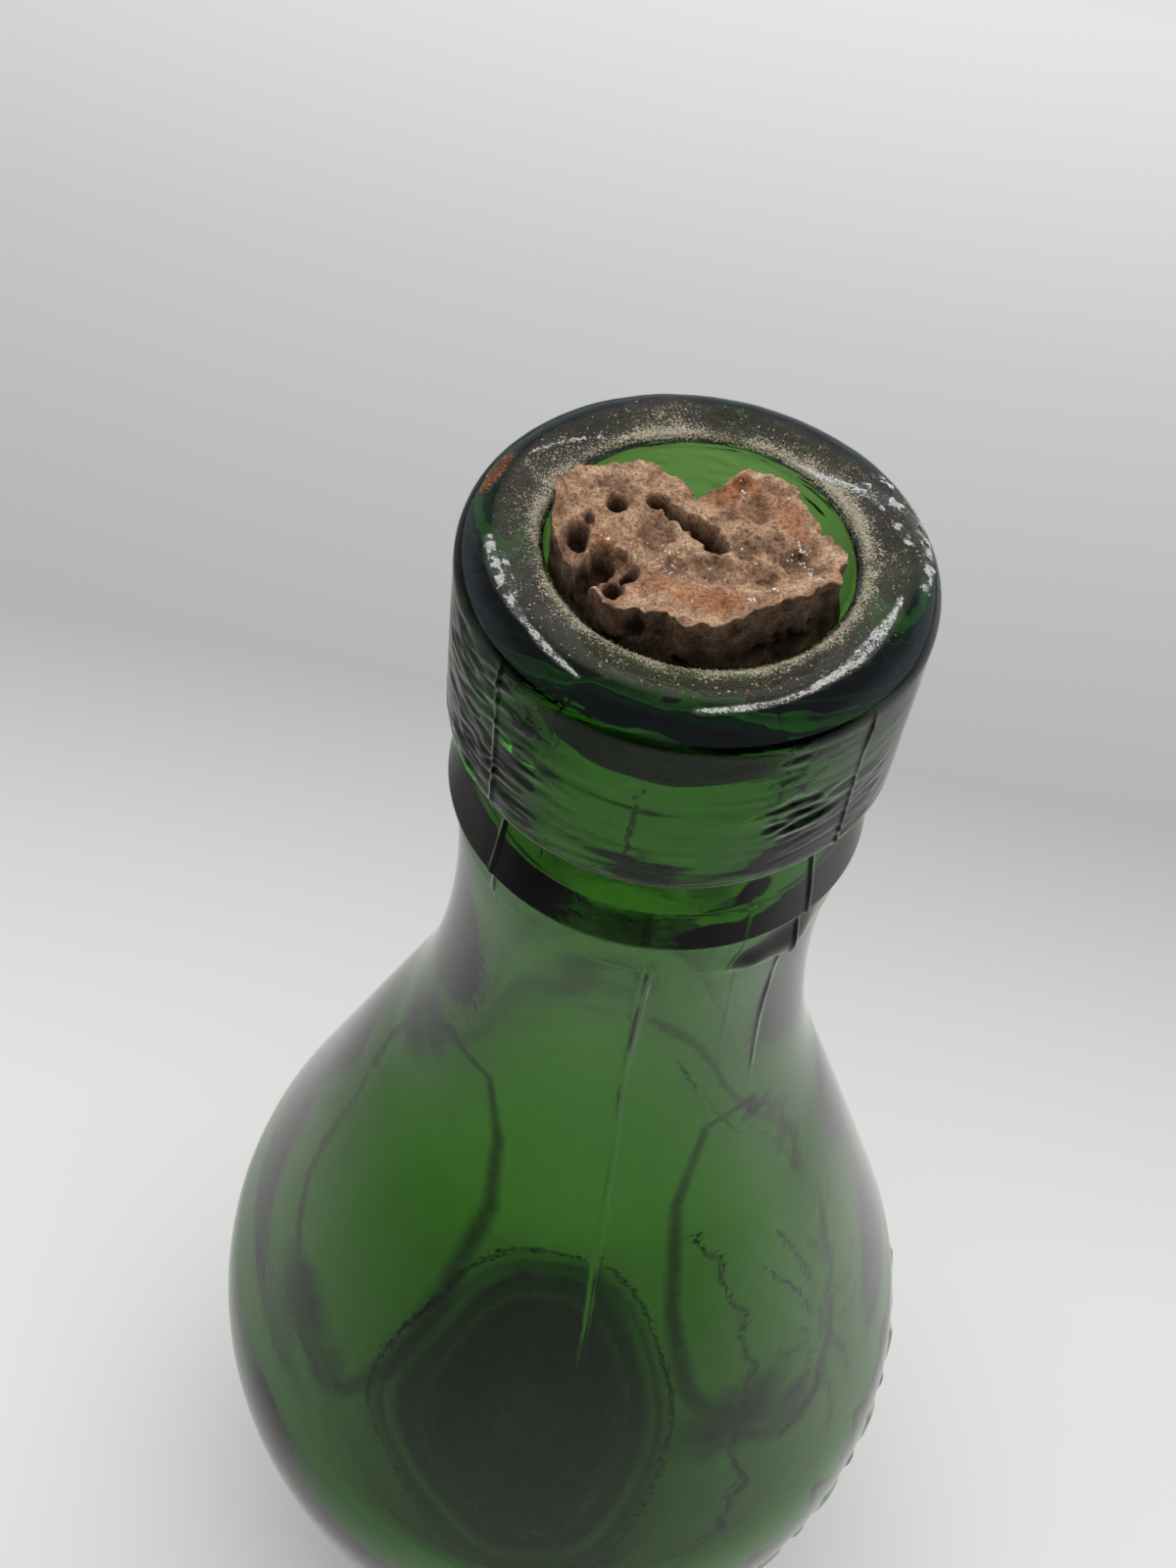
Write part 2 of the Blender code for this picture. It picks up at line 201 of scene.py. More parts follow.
# Shallow bowls with a low rim, in the same terms
cork_bowls = [
    (-3.0, -1.0, 1.3, 1.6, 0, 0.55),
    (-1.4, -3.9, 1.1, 1.3, 0, 0.45),
    (2.6, -0.7, 1.3, 1.4, 0, 0.55),
    (0.9, -3.1, 1.4, 1.4, 0, 0.50),
    (4.3, 0.1, 0.9, 1.1, 0, 0.40),
    (6.3, -1.6, 1.7, 1.7, 0, 0.50),
    (3.9, -3.9, 1.1, 1.1, 0, 0.40),
    (-5.1, -5.0, 1.6, 1.9, 0, 0.90),
    (-7.6, -3.8, 1.1, 1.7, 0, 0.80),
    (3.0, 2.6, 1.3, 1.4, 0, 0.40),
    (-6.3, 2.2, 1.2, 0.9, 0, 0.35),
]
cork_humps = [
    (-9.3, 0.0, 0.45, 1.3, 15, 0.6),
    (-5.2, -8.7, 0.70, 0.7, 0, 0.5),
    (-7.8, -6.0, 0.70, 0.5, 0, 0.4),
    (-6.4, -6.0, 0.60, 0.5, 0, 0.4),
    (1.8, 4.9, 0.70, 0.8, 0, 0.7),
    (-3.4, -3.6, 0.35, 1.3, 15, 0.4),
    (-0.6, 0.9, 0.30, 0.9, 50, 0.3),
]
cork_rust_places = [
    (1.8, 4.8, 1.1, 1.1, 0, 1.0),
    (0.8, 3.4, 1.1, 1.0, 0, 0.8),
    (4.9, 2.5, 1.0, 1.6, 35, 0.8),
    (5.9, 1.2, 0.6, 0.9, 30, 0.7),
    (0.9, -6.4, 2.8, 1.1, 0, 0.8),
    (-2.0, -5.6, 1.5, 0.8, 0, 0.6),
    (-5.9, -2.7, 0.9, 0.6, 0, 0.6),
    (-4.0, -6.4, 0.8, 1.2, 0, 0.6),
    (3.2, 2.9, 1.6, 1.0, 0, 0.4),
]
# Clusters of salt crystals on the head: place, spread and count
cork_salt_places = [
    (3.5, -6.1, 0.3, 5),
    (4.8, -5.2, 0.3, 5),
    (1.9, 4.1, 0.4, 6),
    (-1.5, -3.5, 0.9, 16),
    (6.0, -0.5, 0.8, 16),
    (6.9, -2.2, 0.8, 14),
    (-5.9, -2.7, 0.6, 6),
    (4.6, 3.6, 0.6, 5),
    (0.0, -3.0, 5.0, 22),
]
salt_grain = 0.09 * mm
salt_seed = 9

# Painted shade on the paper, greyer where less light reaches it, and darker painted shade in its mirror image
# in the glass, for the dim room in front: axis, and where its stops start and end in metres
paper_shade_stops = [
    (0.10, "#e6e6e4"),
    (0.20, "#dededc"),
    (0.28, "#cbcbc9"),
    (0.37, "#acacaa"),
    (0.48, "#b6b6b4"),
    (0.61, "#c3c3c1"),
    (0.76, "#d6d6d4"),
    (0.95, "#ececea"),
]
mirrored_shade_stops = [(0.20, "#101010"), (0.34, "#909090"), (0.60, "#b0b0b0"), (0.95, "#ffffff")]
mirrored_side_shade_stops = [(0.10, "#8c8c8c"), (0.45, "#ffffff"), (0.60, "#ffffff"), (0.85, "#d6d6d6")]
paper_shade = ("Y", -0.1, 0.6, paper_shade_stops)
mirrored_shade = ("Y", -0.40, 0.0, mirrored_shade_stops)
mirrored_side_shade = ("X", -0.25, 0.25, mirrored_side_shade_stops)

# Light
floor_half_width = 2.5
floor_drop = 0.3 * mm
tent_dim = 0.3
tent_bright = 0.85
tent_seen = 0.8
lamp_place = Vector((0, 0.18, 0.9))
lamp_target = Vector((0, 0.08, 0.1))
lamp_width = 1.0
lamp_length = 0.8
lamp_power = 8.1

# Painted highlights of a strip light along the lip's crest, drawn as white crust, and dirt on the rim, as
# streaks: azimuth in degrees, radius in mm and half width in mm at each point
highlight_streaks = [
    [(-166, 13.3, 0.20), (-157, 13.2, 0.32), (-147, 13.2, 0.30), (-138, 13.3, 0.20), (-132, 13.4, 0.10)],
    [(-160, 12.6, 0.18), (-150, 12.6, 0.22), (-143, 12.8, 0.10)],
    [(-136, 13.3, 0.07), (-128, 13.5, 0.16), (-121, 13.7, 0.14), (-113, 14.0, 0.06)],
    [(-84, 13.8, 0.10), (-72, 13.5, 0.14), (-62, 13.3, 0.13), (-50, 13.0, 0.20), (-42, 12.8, 0.24)],
    [(-42, 12.8, 0.24), (-33, 12.6, 0.34), (-24, 12.5, 0.28), (-16, 12.6, 0.14), (-8, 12.7, 0.10)],
    [(157, 13.1, 0.08), (148, 12.3, 0.10), (139, 11.6, 0.09), (126, 10.7, 0.06)],
    [(60, 10.3, 0.08), (52, 10.7, 0.16), (44, 11.4, 0.14), (35, 12.3, 0.18), (28, 12.5, 0.12)],
    [(-56, 11.0, 0.16), (-55, 11.1, 0.16)],
]
lime_patches = [
    [(39, 12.2, 0.5), (33, 12.9, 0.6), (27, 13.6, 0.5)],
    [(24, 14.3, 0.5), (14, 14.5, 0.45), (6, 14.4, 0.4), (-2, 14.0, 0.3)],
    [(20, 12.9, 0.4), (14, 13.2, 0.3)],
    [(41, 13.8, 0.35), (36, 14.0, 0.25)],
]
rust_stains = [[(176, 14.2, 0.3), (168, 14.2, 0.6), (161, 14.0, 0.3)]]
highlight_smear_spread = 1.7
highlight_smear_share = 0.55
lime_patch_share = 0.8
mouth_dust = 0.43
back_dust = 0.22
side_dust = [(18, 24, 0.28)]
thin_dust = 0.25
thin_dust_lost_behind = 0.12
thinnest_crust = 0.12
crust_depth = 4.4 * mm
rim_grains = 1500
rim_grain = 0.07 * mm
rim_grain_seed = 5

# Lines of painted shade inside the shoulder, the edges of two dark lobes: azimuth in degrees, height and half
# width in mm at each point
jagged_shade_lines = [
    [(-169, 149.5, 0.9), (-176, 139.6, 0.8), (-174, 131.1, 0.8), (-170, 122.2, 0.8), (-164, 112.3, 0.8)],
    [(-164, 112.3, 0.8), (-153, 106.2, 1.2), (-143, 100.6, 1.6), (-134, 99.5, 1.2), (-127, 102.2, 0.8)],
    [(-31, 155.3, 0.5), (-15, 147.4, 0.8), (-14, 137.8, 0.8), (-6, 130.2, 0.8), (-13, 121.3, 0.8)],
    [(-13, 121.3, 0.8), (-19, 109.5, 1.0), (-29, 102.1, 1.2), (-38, 101.0, 1.0)],
]
smooth_shade_lines = [
    [(-172, 149.5, 0.8), (-150, 155.9, 0.6), (-128, 156.5, 0.4), (-118, 150.0, 0.6), (-113, 141.2, 0.8)],
    [(-113, 141.2, 0.8), (-115, 132.1, 1.0), (-116, 125.6, 1.2), (-120, 112.9, 1.2), (-127, 102.2, 0.8)],
    [(-31, 155.3, 0.5), (-49, 155.0, 0.4), (-59, 145.0, 0.6), (-61, 130.3, 0.8), (-58, 117.9, 1.0)],
    [(-58, 117.9, 1.0), (-50, 108.5, 1.4), (-38, 101.0, 0.8)],
]
# Patches of it: azimuth, height, half width across and up in mm, and strength
shade_patches = [
    (-146, 103.5, 6.5, 6.5, 0.95),
    (-134, 101.5, 4.5, 4.5, 0.7),
    (-172, 147.0, 4.0, 4.5, 0.8),
    (-160, 152.0, 3.0, 3.0, 0.6),
    (-48, 110.0, 7.5, 6.0, 0.75),
    (-36, 104.0, 5.0, 4.0, 0.6),
]
jagged_shade_cover = 0.95
smooth_shade_cover = 0.7
floor_shadow_cover = 0.55
thinnest_shade = 0.02
shade_stand_off = 0.12 * mm
shade_bottom = 94 * mm
shade_top = 162 * mm
floor_shadow_radius = 16.4 * mm


def lattice_values(cells, seed):
    """A repeatable value from -1 to 1 for each whole-number cell."""
    mixed = cells[..., 0] * 73856093 ^ cells[..., 1] * 19349663 ^ cells[..., 2] * 83492791 ^ seed * 49979687
    mixed = (mixed ^ (mixed >> 13)) * 1274126177 & 0xFFFFFFFF
    mixed = (mixed ^ (mixed >> 15)) * 668265263 & 0xFFFFFFFF
    return ((mixed >> 8) & 0xFFFF) / 32767.5 - 1


def noise_at(points, seed):
    """Smooth noise from -1 to 1, one wave to a unit."""
    base = np.floor(points).astype(np.int64)
    part = points - base
    part = part * part * (3 - 2 * part)
    total = 0
    for corner in np.ndindex(2, 2, 2):
        corner = np.array(corner)
        weight = np.prod(np.where(corner, part, 1 - part), axis=-1)
        total = total + weight * lattice_values(base + corner, seed)
    return total


def rough_noise_at(points, octaves, seed):
    """Noise with finer and weaker noise on top."""
    total = 0
    for octave in range(octaves):
        total = total + noise_at(points * 2**octave, seed + octave) / 2**octave
    return total


def nearest_point_at(points, seed):
    """Distance to the nearest of scattered points, one to a unit cell."""
    base = np.floor(points).astype(np.int64)
    nearest = np.full(points.shape[:-1], 9.0)
    for step in np.ndindex(3, 3, 3):
        cell = base + np.array(step) - 1
        place = cell + 0.5 + 0.45 * np.stack([lattice_values(cell, seed + k) for k in range(3)], -1)
        nearest = np.minimum(nearest, np.linalg.norm(points - place, axis=-1))
    return nearest


def bell(value, middle, width):
    return np.exp(-(((value - middle) / width) ** 2))


def ramp(value, low, high):
    """0 below low, 1 above high and eased between."""
    share = np.clip((value - low) / (high - low), 0, 1)
    return share * share * (3 - 2 * share)


def turn_between(azimuth, middle):
    return np.remainder(azimuth - middle + np.pi, 2 * np.pi) - np.pi


def bells_around(azimuth, places):
    """Sum of bells around the axis, at places of azimuth and half width in degrees, and share."""
    total = 0
    for middle, half_width, share in places:
        total = total + share * bell(turn_between(azimuth, math.radians(middle)), 0, math.radians(half_width))
    return total


def turned(radius, azimuth, height):
    """Points from their distance from the axis, azimuth and height."""
    return np.stack([radius * np.cos(azimuth), radius * np.sin(azimuth), height], -1)


def swept(outline, azimuth):
    """Radius, azimuth and height of each point of an outline turned round the axis, in rings."""
    radius = np.repeat(outline[:, :1], len(azimuth), 1)
    height = np.repeat(outline[:, 1:], len(azimuth), 1)
    return radius, np.repeat(azimuth[None], len(outline), 0), height


def outline_steps(outline):
    """Direction of an outline at each point: its share across and its share up."""
    step = np.gradient(outline, axis=0)
    step /= np.linalg.norm(step, axis=1)[:, None]
    return step[:, :1], step[:, 1:]

def patch_distance(across, back, place):
    """Distance of places in mm from a patch's middle, in its own half widths, and the patch's strength."""
    x, y, half_width, half_length, turn, strength = place
    turn = math.radians(turn)
    along = (across - x) * math.cos(turn) + (back - y) * math.sin(turn)
    over = (back - y) * math.cos(turn) - (across - x) * math.sin(turn)
    return np.hypot(along / half_width, over / half_length), strength


def arc(centre, radius, start, end, steps):
    angles = [start + (end - start) * i / steps for i in range(steps + 1)]
    return [(centre[0] + radius * math.cos(a), centre[1] + radius * math.sin(a)) for a in angles]


def rounded(corners, steps):
    """An outline from corners (radius, height, fillet)."""
    outline = []
    for i, (radius, height, fillet) in enumerate(corners):
        here = Vector((radius, height))
        if not fillet:
            outline.append((radius, height))
            continue
        back = Vector(corners[i - 1][:2]) - here
        ahead = Vector(corners[i + 1][:2]) - here
        half = back.angle(ahead) / 2
        reach = min(fillet / math.tan(half), 0.45 * min(back.length, ahead.length))
        back.normalize()
        ahead.normalize()
        centre = here + (back + ahead).normalized() * reach / math.cos(half)
        first = here + back * reach - centre
        last = here + ahead * reach - centre
        start = math.atan2(first.y, first.x)
        turn = math.remainder(math.atan2(last.y, last.x) - start, math.tau)
        outline += arc(centre, first.length, start, start + turn, steps)
    return outline


def tangent_lean(low_centre, low_radius, high_centre, high_radius):
    across = high_centre[0] - low_centre[0]
    up = high_centre[1] - low_centre[1]
    return math.atan2(up, across) - math.acos((low_radius + high_radius) / math.hypot(across, up))


def bottle_outline():
    """The outline from the push-up over the outside and down the inside, and where the inside starts."""
    lip_bottom = bottle_height - lip_height
    ring_bottom = lip_bottom - ring_height
    collar_bottom = ring_bottom - collar_height
    neck_round_top = collar_bottom - neck_straight_length
    shoulder_centre = (widest_radius - shoulder_round, widest_height)
    neck_centre = (neck_radius + neck_round, neck_round_top)
    belly_centre = (widest_radius - belly_round, widest_height)

    wall_top = widest_radius - belly_round * (1 - math.cos(foot_lean))
    wall_drop = widest_height - belly_round * math.sin(foot_lean) - heel_round * (1 - math.sin(foot_lean))
    heel_wall = wall_top - wall_drop * math.tan(foot_lean)
    heel_centre = (heel_wall - heel_round * math.cos(foot_lean), heel_round)
    edge = heel_centre[0] - bearing_ring_width
    dome = (edge**2 + push_up_height**2 - 2 * push_up_edge_round * push_up_height) / (2 * push_up_height)
    dome_centre = (0, push_up_height - dome)
    dome_end = math.atan2(push_up_edge_round - dome_centre[1], edge)

    quarter = math.pi / 2
    outer = arc(dome_centre, dome, quarter, dome_end, 30)
    outer += arc((edge, push_up_edge_round), push_up_edge_round, dome_end + math.pi, 3 * quarter, 6)[1:]
    outer += arc(heel_centre, heel_round, -quarter, -foot_lean, 12)
    outer += arc(belly_centre, belly_round, -foot_lean, 0, 8)
    lean = tangent_lean(shoulder_centre, shoulder_round, neck_centre, neck_round)
    outer += arc(shoulder_centre, shoulder_round, 0, lean, 14)[1:]
    outer += arc(neck_centre, neck_round, math.pi + lean, math.pi, 24)
    collar = neck_radius + collar_step
    outer += rounded(
        [
            (neck_radius, collar_bottom, 0),
            (collar, collar_bottom, collar_edge_round),
            (collar, ring_bottom, ring_root_round),
            (neck_radius + ring_foot_stand, ring_bottom, ring_foot_round),
            (neck_radius - ring_root_inset, lip_bottom, ring_root_round),
            (lip_base_radius, lip_bottom, lip_base_round),
            (lip_radius, bottle_height, lip_round),
            (bore_radius, bottle_height, mouth_round),
            (bore_radius, bottle_height - bore_depth, 0),
        ],
        8,
    )
    inside_from = len(outer) - 2
    outer.append((neck_radius - neck_wall, bottle_height - bore_depth - bore_flare_length))

    floor = dome + base_wall
    inner_neck = neck_round + neck_wall
    inner_shoulder = shoulder_round - body_wall
    lean = tangent_lean(shoulder_centre, inner_shoulder, neck_centre, inner_neck)
    inner = arc(neck_centre, inner_neck, math.pi, math.pi + lean, 14)
    inner += arc(shoulder_centre, inner_shoulder, lean, 0, 12)
    inner += arc(belly_centre, belly_round - body_wall, 0, -foot_lean, 6)[1:]
    outward = Vector((math.cos(foot_lean), -math.sin(foot_lean)))
    upward = Vector((math.sin(foot_lean), math.cos(foot_lean)))
    start = outward * (outward.dot(Vector(inner[-1])) - inner_heel_round) - Vector(dome_centre)
    along = start.dot(upward)
    rise = math.sqrt(along**2 - start.length_squared + (floor + inner_heel_round) ** 2) - along
    centre = start + upward * rise
    end = math.atan2(centre.y, centre.x)
    centre += Vector(dome_centre)
    inner += arc(centre, inner_heel_round, -foot_lean, end - math.pi, 8)
    inner += arc(dome_centre, floor, end, quarter, 14)[1:]
    return outer + inner, inside_from


def refined(outline, spacing_at):
    """The outline with long straight stretches divided, and where each old point went."""
    points = [outline[0]]
    places = [0]
    for (r0, z0), (r1, z1) in zip(outline, outline[1:]):
        length = math.hypot(r1 - r0, z1 - z0)
        count = max(1, math.ceil(length / spacing_at((r0 + r1) / 2, (z0 + z1) / 2)))
        if length > 1e-9:
            points += [(r0 + (r1 - r0) * k / count, z0 + (z1 - z0) * k / count) for k in range(1, count + 1)]
        places.append(len(points) - 1)
    return np.array(points), places


def glass_spacing(radius, height):
    """Ring spacing: fine outside on the finish, even where the relief stands, wider elsewhere."""
    if height > bottle_height - finish_depth:
        return finish_spacing if radius > bore_radius + 0.1 * mm else bore_spacing
    return relief_spacing if relief_bottom < height < relief_top else plain_spacing


def column_azimuths():
    """Mesh columns: one a degree, closer across most of the relief and closest on the seams."""
    azimuths = list(np.radians(np.arange(-180, 180, 1.0)))
    azimuths += list(np.radians(np.arange(*closer_columns, 1.0)))
    for seam in seams:
        middle = math.radians(seam[0])
        azimuths += [math.remainder(middle + math.radians(0.2 * k), math.tau) for k in range(-9, 10)]
    azimuths = np.unique(np.round(azimuths, 4))
    return azimuths[np.append(True, np.diff(azimuths) > 0.0016)]


def motif_height(across, up, form):
    """Height from 0 to 1 of one raised motif with soft sides, at places in its own frame."""
    if form == "lozenge":
        inside = 1 - abs(across) / (lozenge_width / 2) - abs(up) / (lozenge_height / 2)
        return ramp(inside, -0.05, 0.40)
    if form == "bead":
        return ramp(1 - np.hypot(across, up) / bead_radius, -0.15, 0.6)
    if form == "boss":
        return ramp(1 - np.hypot(across, up) / boss_radius, -0.05, 0.45)
    along = (up - boss_radius - petal_gap) / petal_length
    half = petal_width / 2 * np.sqrt(np.clip(along, 0, 1)) * 1.55 * np.clip(1 - along, 0, 1) ** 0.6
    inside = 1 - abs(across) / np.maximum(half, 1e-5)
    crease = 0.82 + 0.18 * ramp(abs(across), 0, 0.6 * mm)
    return ramp(inside, -0.05, 0.5) * ramp(along, 0, 0.1) * ramp(1 - along, 0, 0.1) * crease


def relief_height(azimuth, height, radius):
    """Height from 0 to 1 of the whole relief: a rosette between two rows."""
    middle = widest_height - rosette_below_widest
    reach = boss_radius + petal_gap + petal_length + lozenge_height / 2
    total = np.zeros_like(height)

    def add(form, place, level, turn):
        nonlocal total
        across = turn_between(azimuth, place) * radius
        up = height - level
        near = (abs(across) < 20 * mm) & (abs(up) < 20 * mm)
        x = across * math.cos(turn) + up * math.sin(turn)
        y = up * math.cos(turn) - across * math.sin(turn)
        total = np.where(near, np.maximum(total, motif_height(x, y, form)), total)

    def add_row(level, drop, lozenges):
        step = lozenge_width / 2 + bead_radius + row_gap
        span = (lozenges - 1) * step
        for i in range(2 * lozenges - 1):
            along = (i - lozenges + 1) * step
            share = along / span
            place = relief_azimuth + along / widest_radius
            form = "lozenge" if i % 2 == 0 else "bead"
            add(form, place, level - drop * share**2, math.atan(-2 * drop * share / span))

    add_row(middle + reach + upper_row_gap, upper_row_drop, upper_row_lozenges)
    add_row(middle - reach - lower_row_gap, 0, lower_row_lozenges)
    add("boss", relief_azimuth, middle, 0)
    for i in range(rosette_petals):
        add("petal", relief_azimuth, middle, math.tau * i / rosette_petals)
    return total


def waves(places, finish, table):
    """Unevenness of the blown glass, where finish is 1 on the finish and 0 on the body."""
    out = 0
    for width, height, on_body, on_finish, seed in table:
        size = np.array([width, width, height]) * mm
        out = out + noise_at(places / size, seed) * (on_body + (on_finish - on_body) * finish) * mm
    return out


def worn_top(places, radius, depth):
    """Relief of the lip's top: worn, pitted, and sunk a little from its crest towards the mouth."""
    sunk = worn_top_sink * ramp(radius, 13.0 * mm, 10.3 * mm)
    pits = rough_noise_at(places / (1.6 * mm), 3, 31) * worn_top_stand
    return ramp(depth, 1.2 * mm, 0.3 * mm) * (pits - sunk)


def seams_relief(azimuth, radius, depth, places):
    """The raised lines of the mould's seams, which wander a little and fade in places and low down."""
    level = places * np.array([0, 0, 1])
    out = 0
    for turn, stand, wander, half_width, start, full_from, full_to, end, seed in seams:
        within = ramp(depth, start * mm, full_from * mm) * ramp(depth, end * mm, full_to * mm)
        middle = noise_at(level / (8 * mm), seed) * wander * mm
        strength = 0.72 + 0.4 * noise_at(level / (3 * mm), seed + 1)
        away = turn_between(azimuth, math.radians(turn)) * radius
        out = out + stand * mm * within * bell(away, middle, half_width * mm) * strength
    full = ramp(bottle_height - depth, seams_low_below, seams_full_above)
    return out * (seams_low_share + (1 - seams_low_share) * full)


def tool_marks(azimuth, radius, depth, places):
    """Chatter marks where the tool dragged on the lip, strongest by its two seams, and fine turning lines."""
    side = ramp(depth, lip_height + 0.2 * mm, lip_height - 0.6 * mm) * ramp(depth, 1.2 * mm, 3 * mm)
    along = azimuth * radius
    flat = np.zeros_like(depth)
    wrinkle = np.stack([along / (3 * mm), depth / (0.6 * mm) + azimuth * 2.5, flat], -1)
    marks = 0.6 - 1.6 * abs(noise_at(wrinkle, 21))
    marks += 0.5 * noise_at(wrinkle * np.array([2.3, 1.7, 1]), 22)
    strength = bells_around(azimuth, chatter_places)
    strength += bells_around(azimuth, low_left_chatter) * bell(depth, 12.3 * mm, 1.6 * mm)
    strength += bells_around(azimuth, low_right_chatter) * ramp(depth, 6 * mm, 9 * mm)
    patches = ramp(noise_at(places / (3 * mm), 23), -0.6, 0.3)
    chatter = (0.05 + np.clip(strength, 0, 1) * patches) * marks * chatter_stand
    lines = np.stack([along / (20 * mm), depth / (0.5 * mm), flat], -1)
    return side * (chatter + noise_at(lines, 25) * turning_line_stand)


def outer_relief(azimuth, radius, height):
    """How far the outer surface stands out from the turned form."""
    depth = bottle_height - height
    places = turned(radius, azimuth, height)
    out = waves(places, ramp(depth, 34 * mm, 28 * mm), outer_waves)
    out += seams_relief(azimuth, radius, depth, places)
    out += tool_marks(azimuth, radius, depth, places)
    out += worn_top(places, radius, depth)
    across = turn_between(azimuth, glass_run_azimuth) * radius
    for sideways, above, half_width, half_height, share in glass_run:
        level = bell(depth, collar_foot_depth - above * mm, half_height * mm)
        out += glass_run_stand * share * bell(across, sideways * mm, half_width * mm) * level
    out += relief_raise * relief_height(azimuth, height, radius) * ramp(depth, 100 * mm, 110 * mm)
    return out


def finish_drift(azimuth, height):
    """How far the tooled edges of the lip and the collar run up or down from level."""
    depth = bottle_height - height
    lip = bell(depth, lip_height, 2.5 * mm) * bells_around(azimuth, lip_edge_drifts)
    collar = bell(depth, collar_foot_depth, 1.6 * mm) * (-1.3 * np.cos(azimuth) - 0.1)
    return (lip + collar) * mm


def inner_relief(azimuth, radius, height):
    """How far the inner surface stands off its turned form towards the hollow."""
    depth = bottle_height - height
    out = waves(turned(radius, azimuth, height), ramp(depth, 70 * mm, 25 * mm), inner_waves)
    bore = ramp(depth, bore_depth + 3 * mm, bore_depth) * ramp(depth, 0.5 * mm, 3 * mm)
    wrinkle = np.stack([azimuth * radius / (4 * mm), depth / (1.1 * mm), np.zeros_like(depth)], -1)
    return out + bore * noise_at(wrinkle, 45) * bore_wrinkle_stand


def fill_mesh(name, points, corners, counts, attributes=()):
    """A mesh from arrays, shaded smooth, with values stored on its points."""
    mesh = bpy.data.meshes.new(name)
    mesh.vertices.add(len(points))
    mesh.vertices.foreach_set("co", points.astype(np.float32).reshape(-1))
    mesh.loops.add(len(corners))
    mesh.loops.foreach_set("vertex_index", corners.astype(np.int32))
    mesh.polygons.add(len(counts))
    starts = np.concatenate([[0], np.cumsum(counts)[:-1]])
    mesh.polygons.foreach_set("loop_start", starts.astype(np.int32))
    mesh.update(calc_edges=True)
    mesh.shade_smooth()
    for key, values in attributes:
        attribute = mesh.attributes.new(key, "FLOAT", "POINT")
        attribute.data.foreach_set("value", values.astype(np.float32).reshape(-1))
    mesh.validate()
    return mesh


def ring_quads(index):
    """Faces between rings of point numbers, each ring closed on itself."""
    following = np.roll(index, -1, axis=1)
    return np.stack([index[:-1], following[:-1], following[1:], index[1:]], -1).reshape(-1, 4)


def closed_mesh(name, places, attributes=()):
    """A closed mesh from rings of points (ring, column, xyz), whose first and last rings are poles."""
    rings, columns = places.shape[:2]
    points = np.concatenate([places[:1, 0], places[1:-1].reshape(-1, 3), places[-1:, 0]])
    last = len(points) - 1
    index = 1 + np.arange((rings - 2) * columns).reshape(rings - 2, columns)
    quads = ring_quads(index)
    low = np.stack([np.zeros(columns, int), np.roll(index[0], -1), index[0]], -1)
    high = np.stack([np.full(columns, last), index[-1], np.roll(index[-1], -1)], -1)
    corners = np.concatenate([low.reshape(-1), quads.reshape(-1), high.reshape(-1)])
    counts = np.concatenate([np.full(columns, 3), np.full(len(quads), 4), np.full(columns, 3)])
    values = [(key, np.concatenate([v[:1, 0], v[1:-1].reshape(-1), v[-1:, 0]])) for key, v in attributes]
    return fill_mesh(name, points, corners, counts, values)


def band_mesh(name, places, kept, attributes=()):
    """An open band of rings of points that runs round, with only the faces that have a kept corner."""
    quads = ring_quads(np.arange(kept.size).reshape(kept.shape))
    quads = quads[kept.reshape(-1)[quads].any(axis=1)]
    used, corners = np.unique(quads, return_inverse=True)
    values = [(key, v.reshape(-1)[used]) for key, v in attributes]
    return fill_mesh(name, places.reshape(-1, 3)[used], corners.reshape(-1), np.full(len(quads), 4), values)


def grains_mesh(name, middles, size, dice):
    """Small eight-sided crystals of uneven shape."""
    spikes = np.array([(1, 0, 0), (0, 1, 0), (-1, 0, 0), (0, -1, 0), (0, 0, 1), (0, 0, -1)], float)
    faces = [(0, 1, 4), (1, 2, 4), (2, 3, 4), (3, 0, 4), (1, 0, 5), (2, 1, 5), (3, 2, 5), (0, 3, 5)]
    uneven = dice.uniform(0.45, 1.5, (len(middles), 1, 1))
    reach = size * uneven * dice.uniform(0.6, 1.3, (len(middles), 6, 1))
    turns = dice.uniform(0, math.tau, (len(middles), 1))
    x = spikes[None, :, 0] * np.cos(turns) - spikes[None, :, 1] * np.sin(turns)
    y = spikes[None, :, 0] * np.sin(turns) + spikes[None, :, 1] * np.cos(turns)
    z = np.repeat(spikes[None, :, 2], len(middles), 0)
    points = middles[:, None] + np.stack([x, y, z], -1) * reach
    corners = np.array(faces)[None] + 6 * np.arange(len(middles))[:, None, None]
    mesh = fill_mesh(name, points.reshape(-1, 3), corners.reshape(-1), np.full(8 * len(middles), 3))
    mesh.shade_flat()
    return mesh


def add_object(data):
    """An object in the scene, named like its data."""
    added = bpy.data.objects.new(data.name, data)
    bpy.context.scene.collection.objects.link(added)
    return added


def add_piece(mesh, material, body):
    mesh.materials.append(material)
    piece = add_object(mesh)
    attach(piece, body)
    return piece


def linear(colour):
    """An sRGB hex colour as linear RGBA."""
    values = [int(colour[i : i + 2], 16) / 255 for i in (1, 3, 5)]
    return (*[v / 12.92 if v <= 0.04045 else ((v + 0.055) / 1.055) ** 2.4 for v in values], 1)


def add_node(tree, kind, settings=None, **links):
    """A shader node. Settings are properties or sockets, by name or number; links go to sockets by name.

    A socket takes a value, another node's output, or another node, which stands for its first output in use.
    """
    node = tree.nodes.new("ShaderNode" + kind)
    sockets = {}
    for key, value in (settings or {}).items():
        if isinstance(key, int) or key in node.inputs:
            sockets[key] = value
        else:
            setattr(node, key, value)
    sockets.update({key.replace("_", " "): source for key, source in links.items()})
    for key, value in sockets.items():
        if isinstance(value, bpy.types.Node):
            value = next(output for output in value.outputs if output.enabled)
        if isinstance(value, bpy.types.NodeSocket):
            tree.links.new(value, node.inputs[key])
        else:
            node.inputs[key].default_value = value
    return node


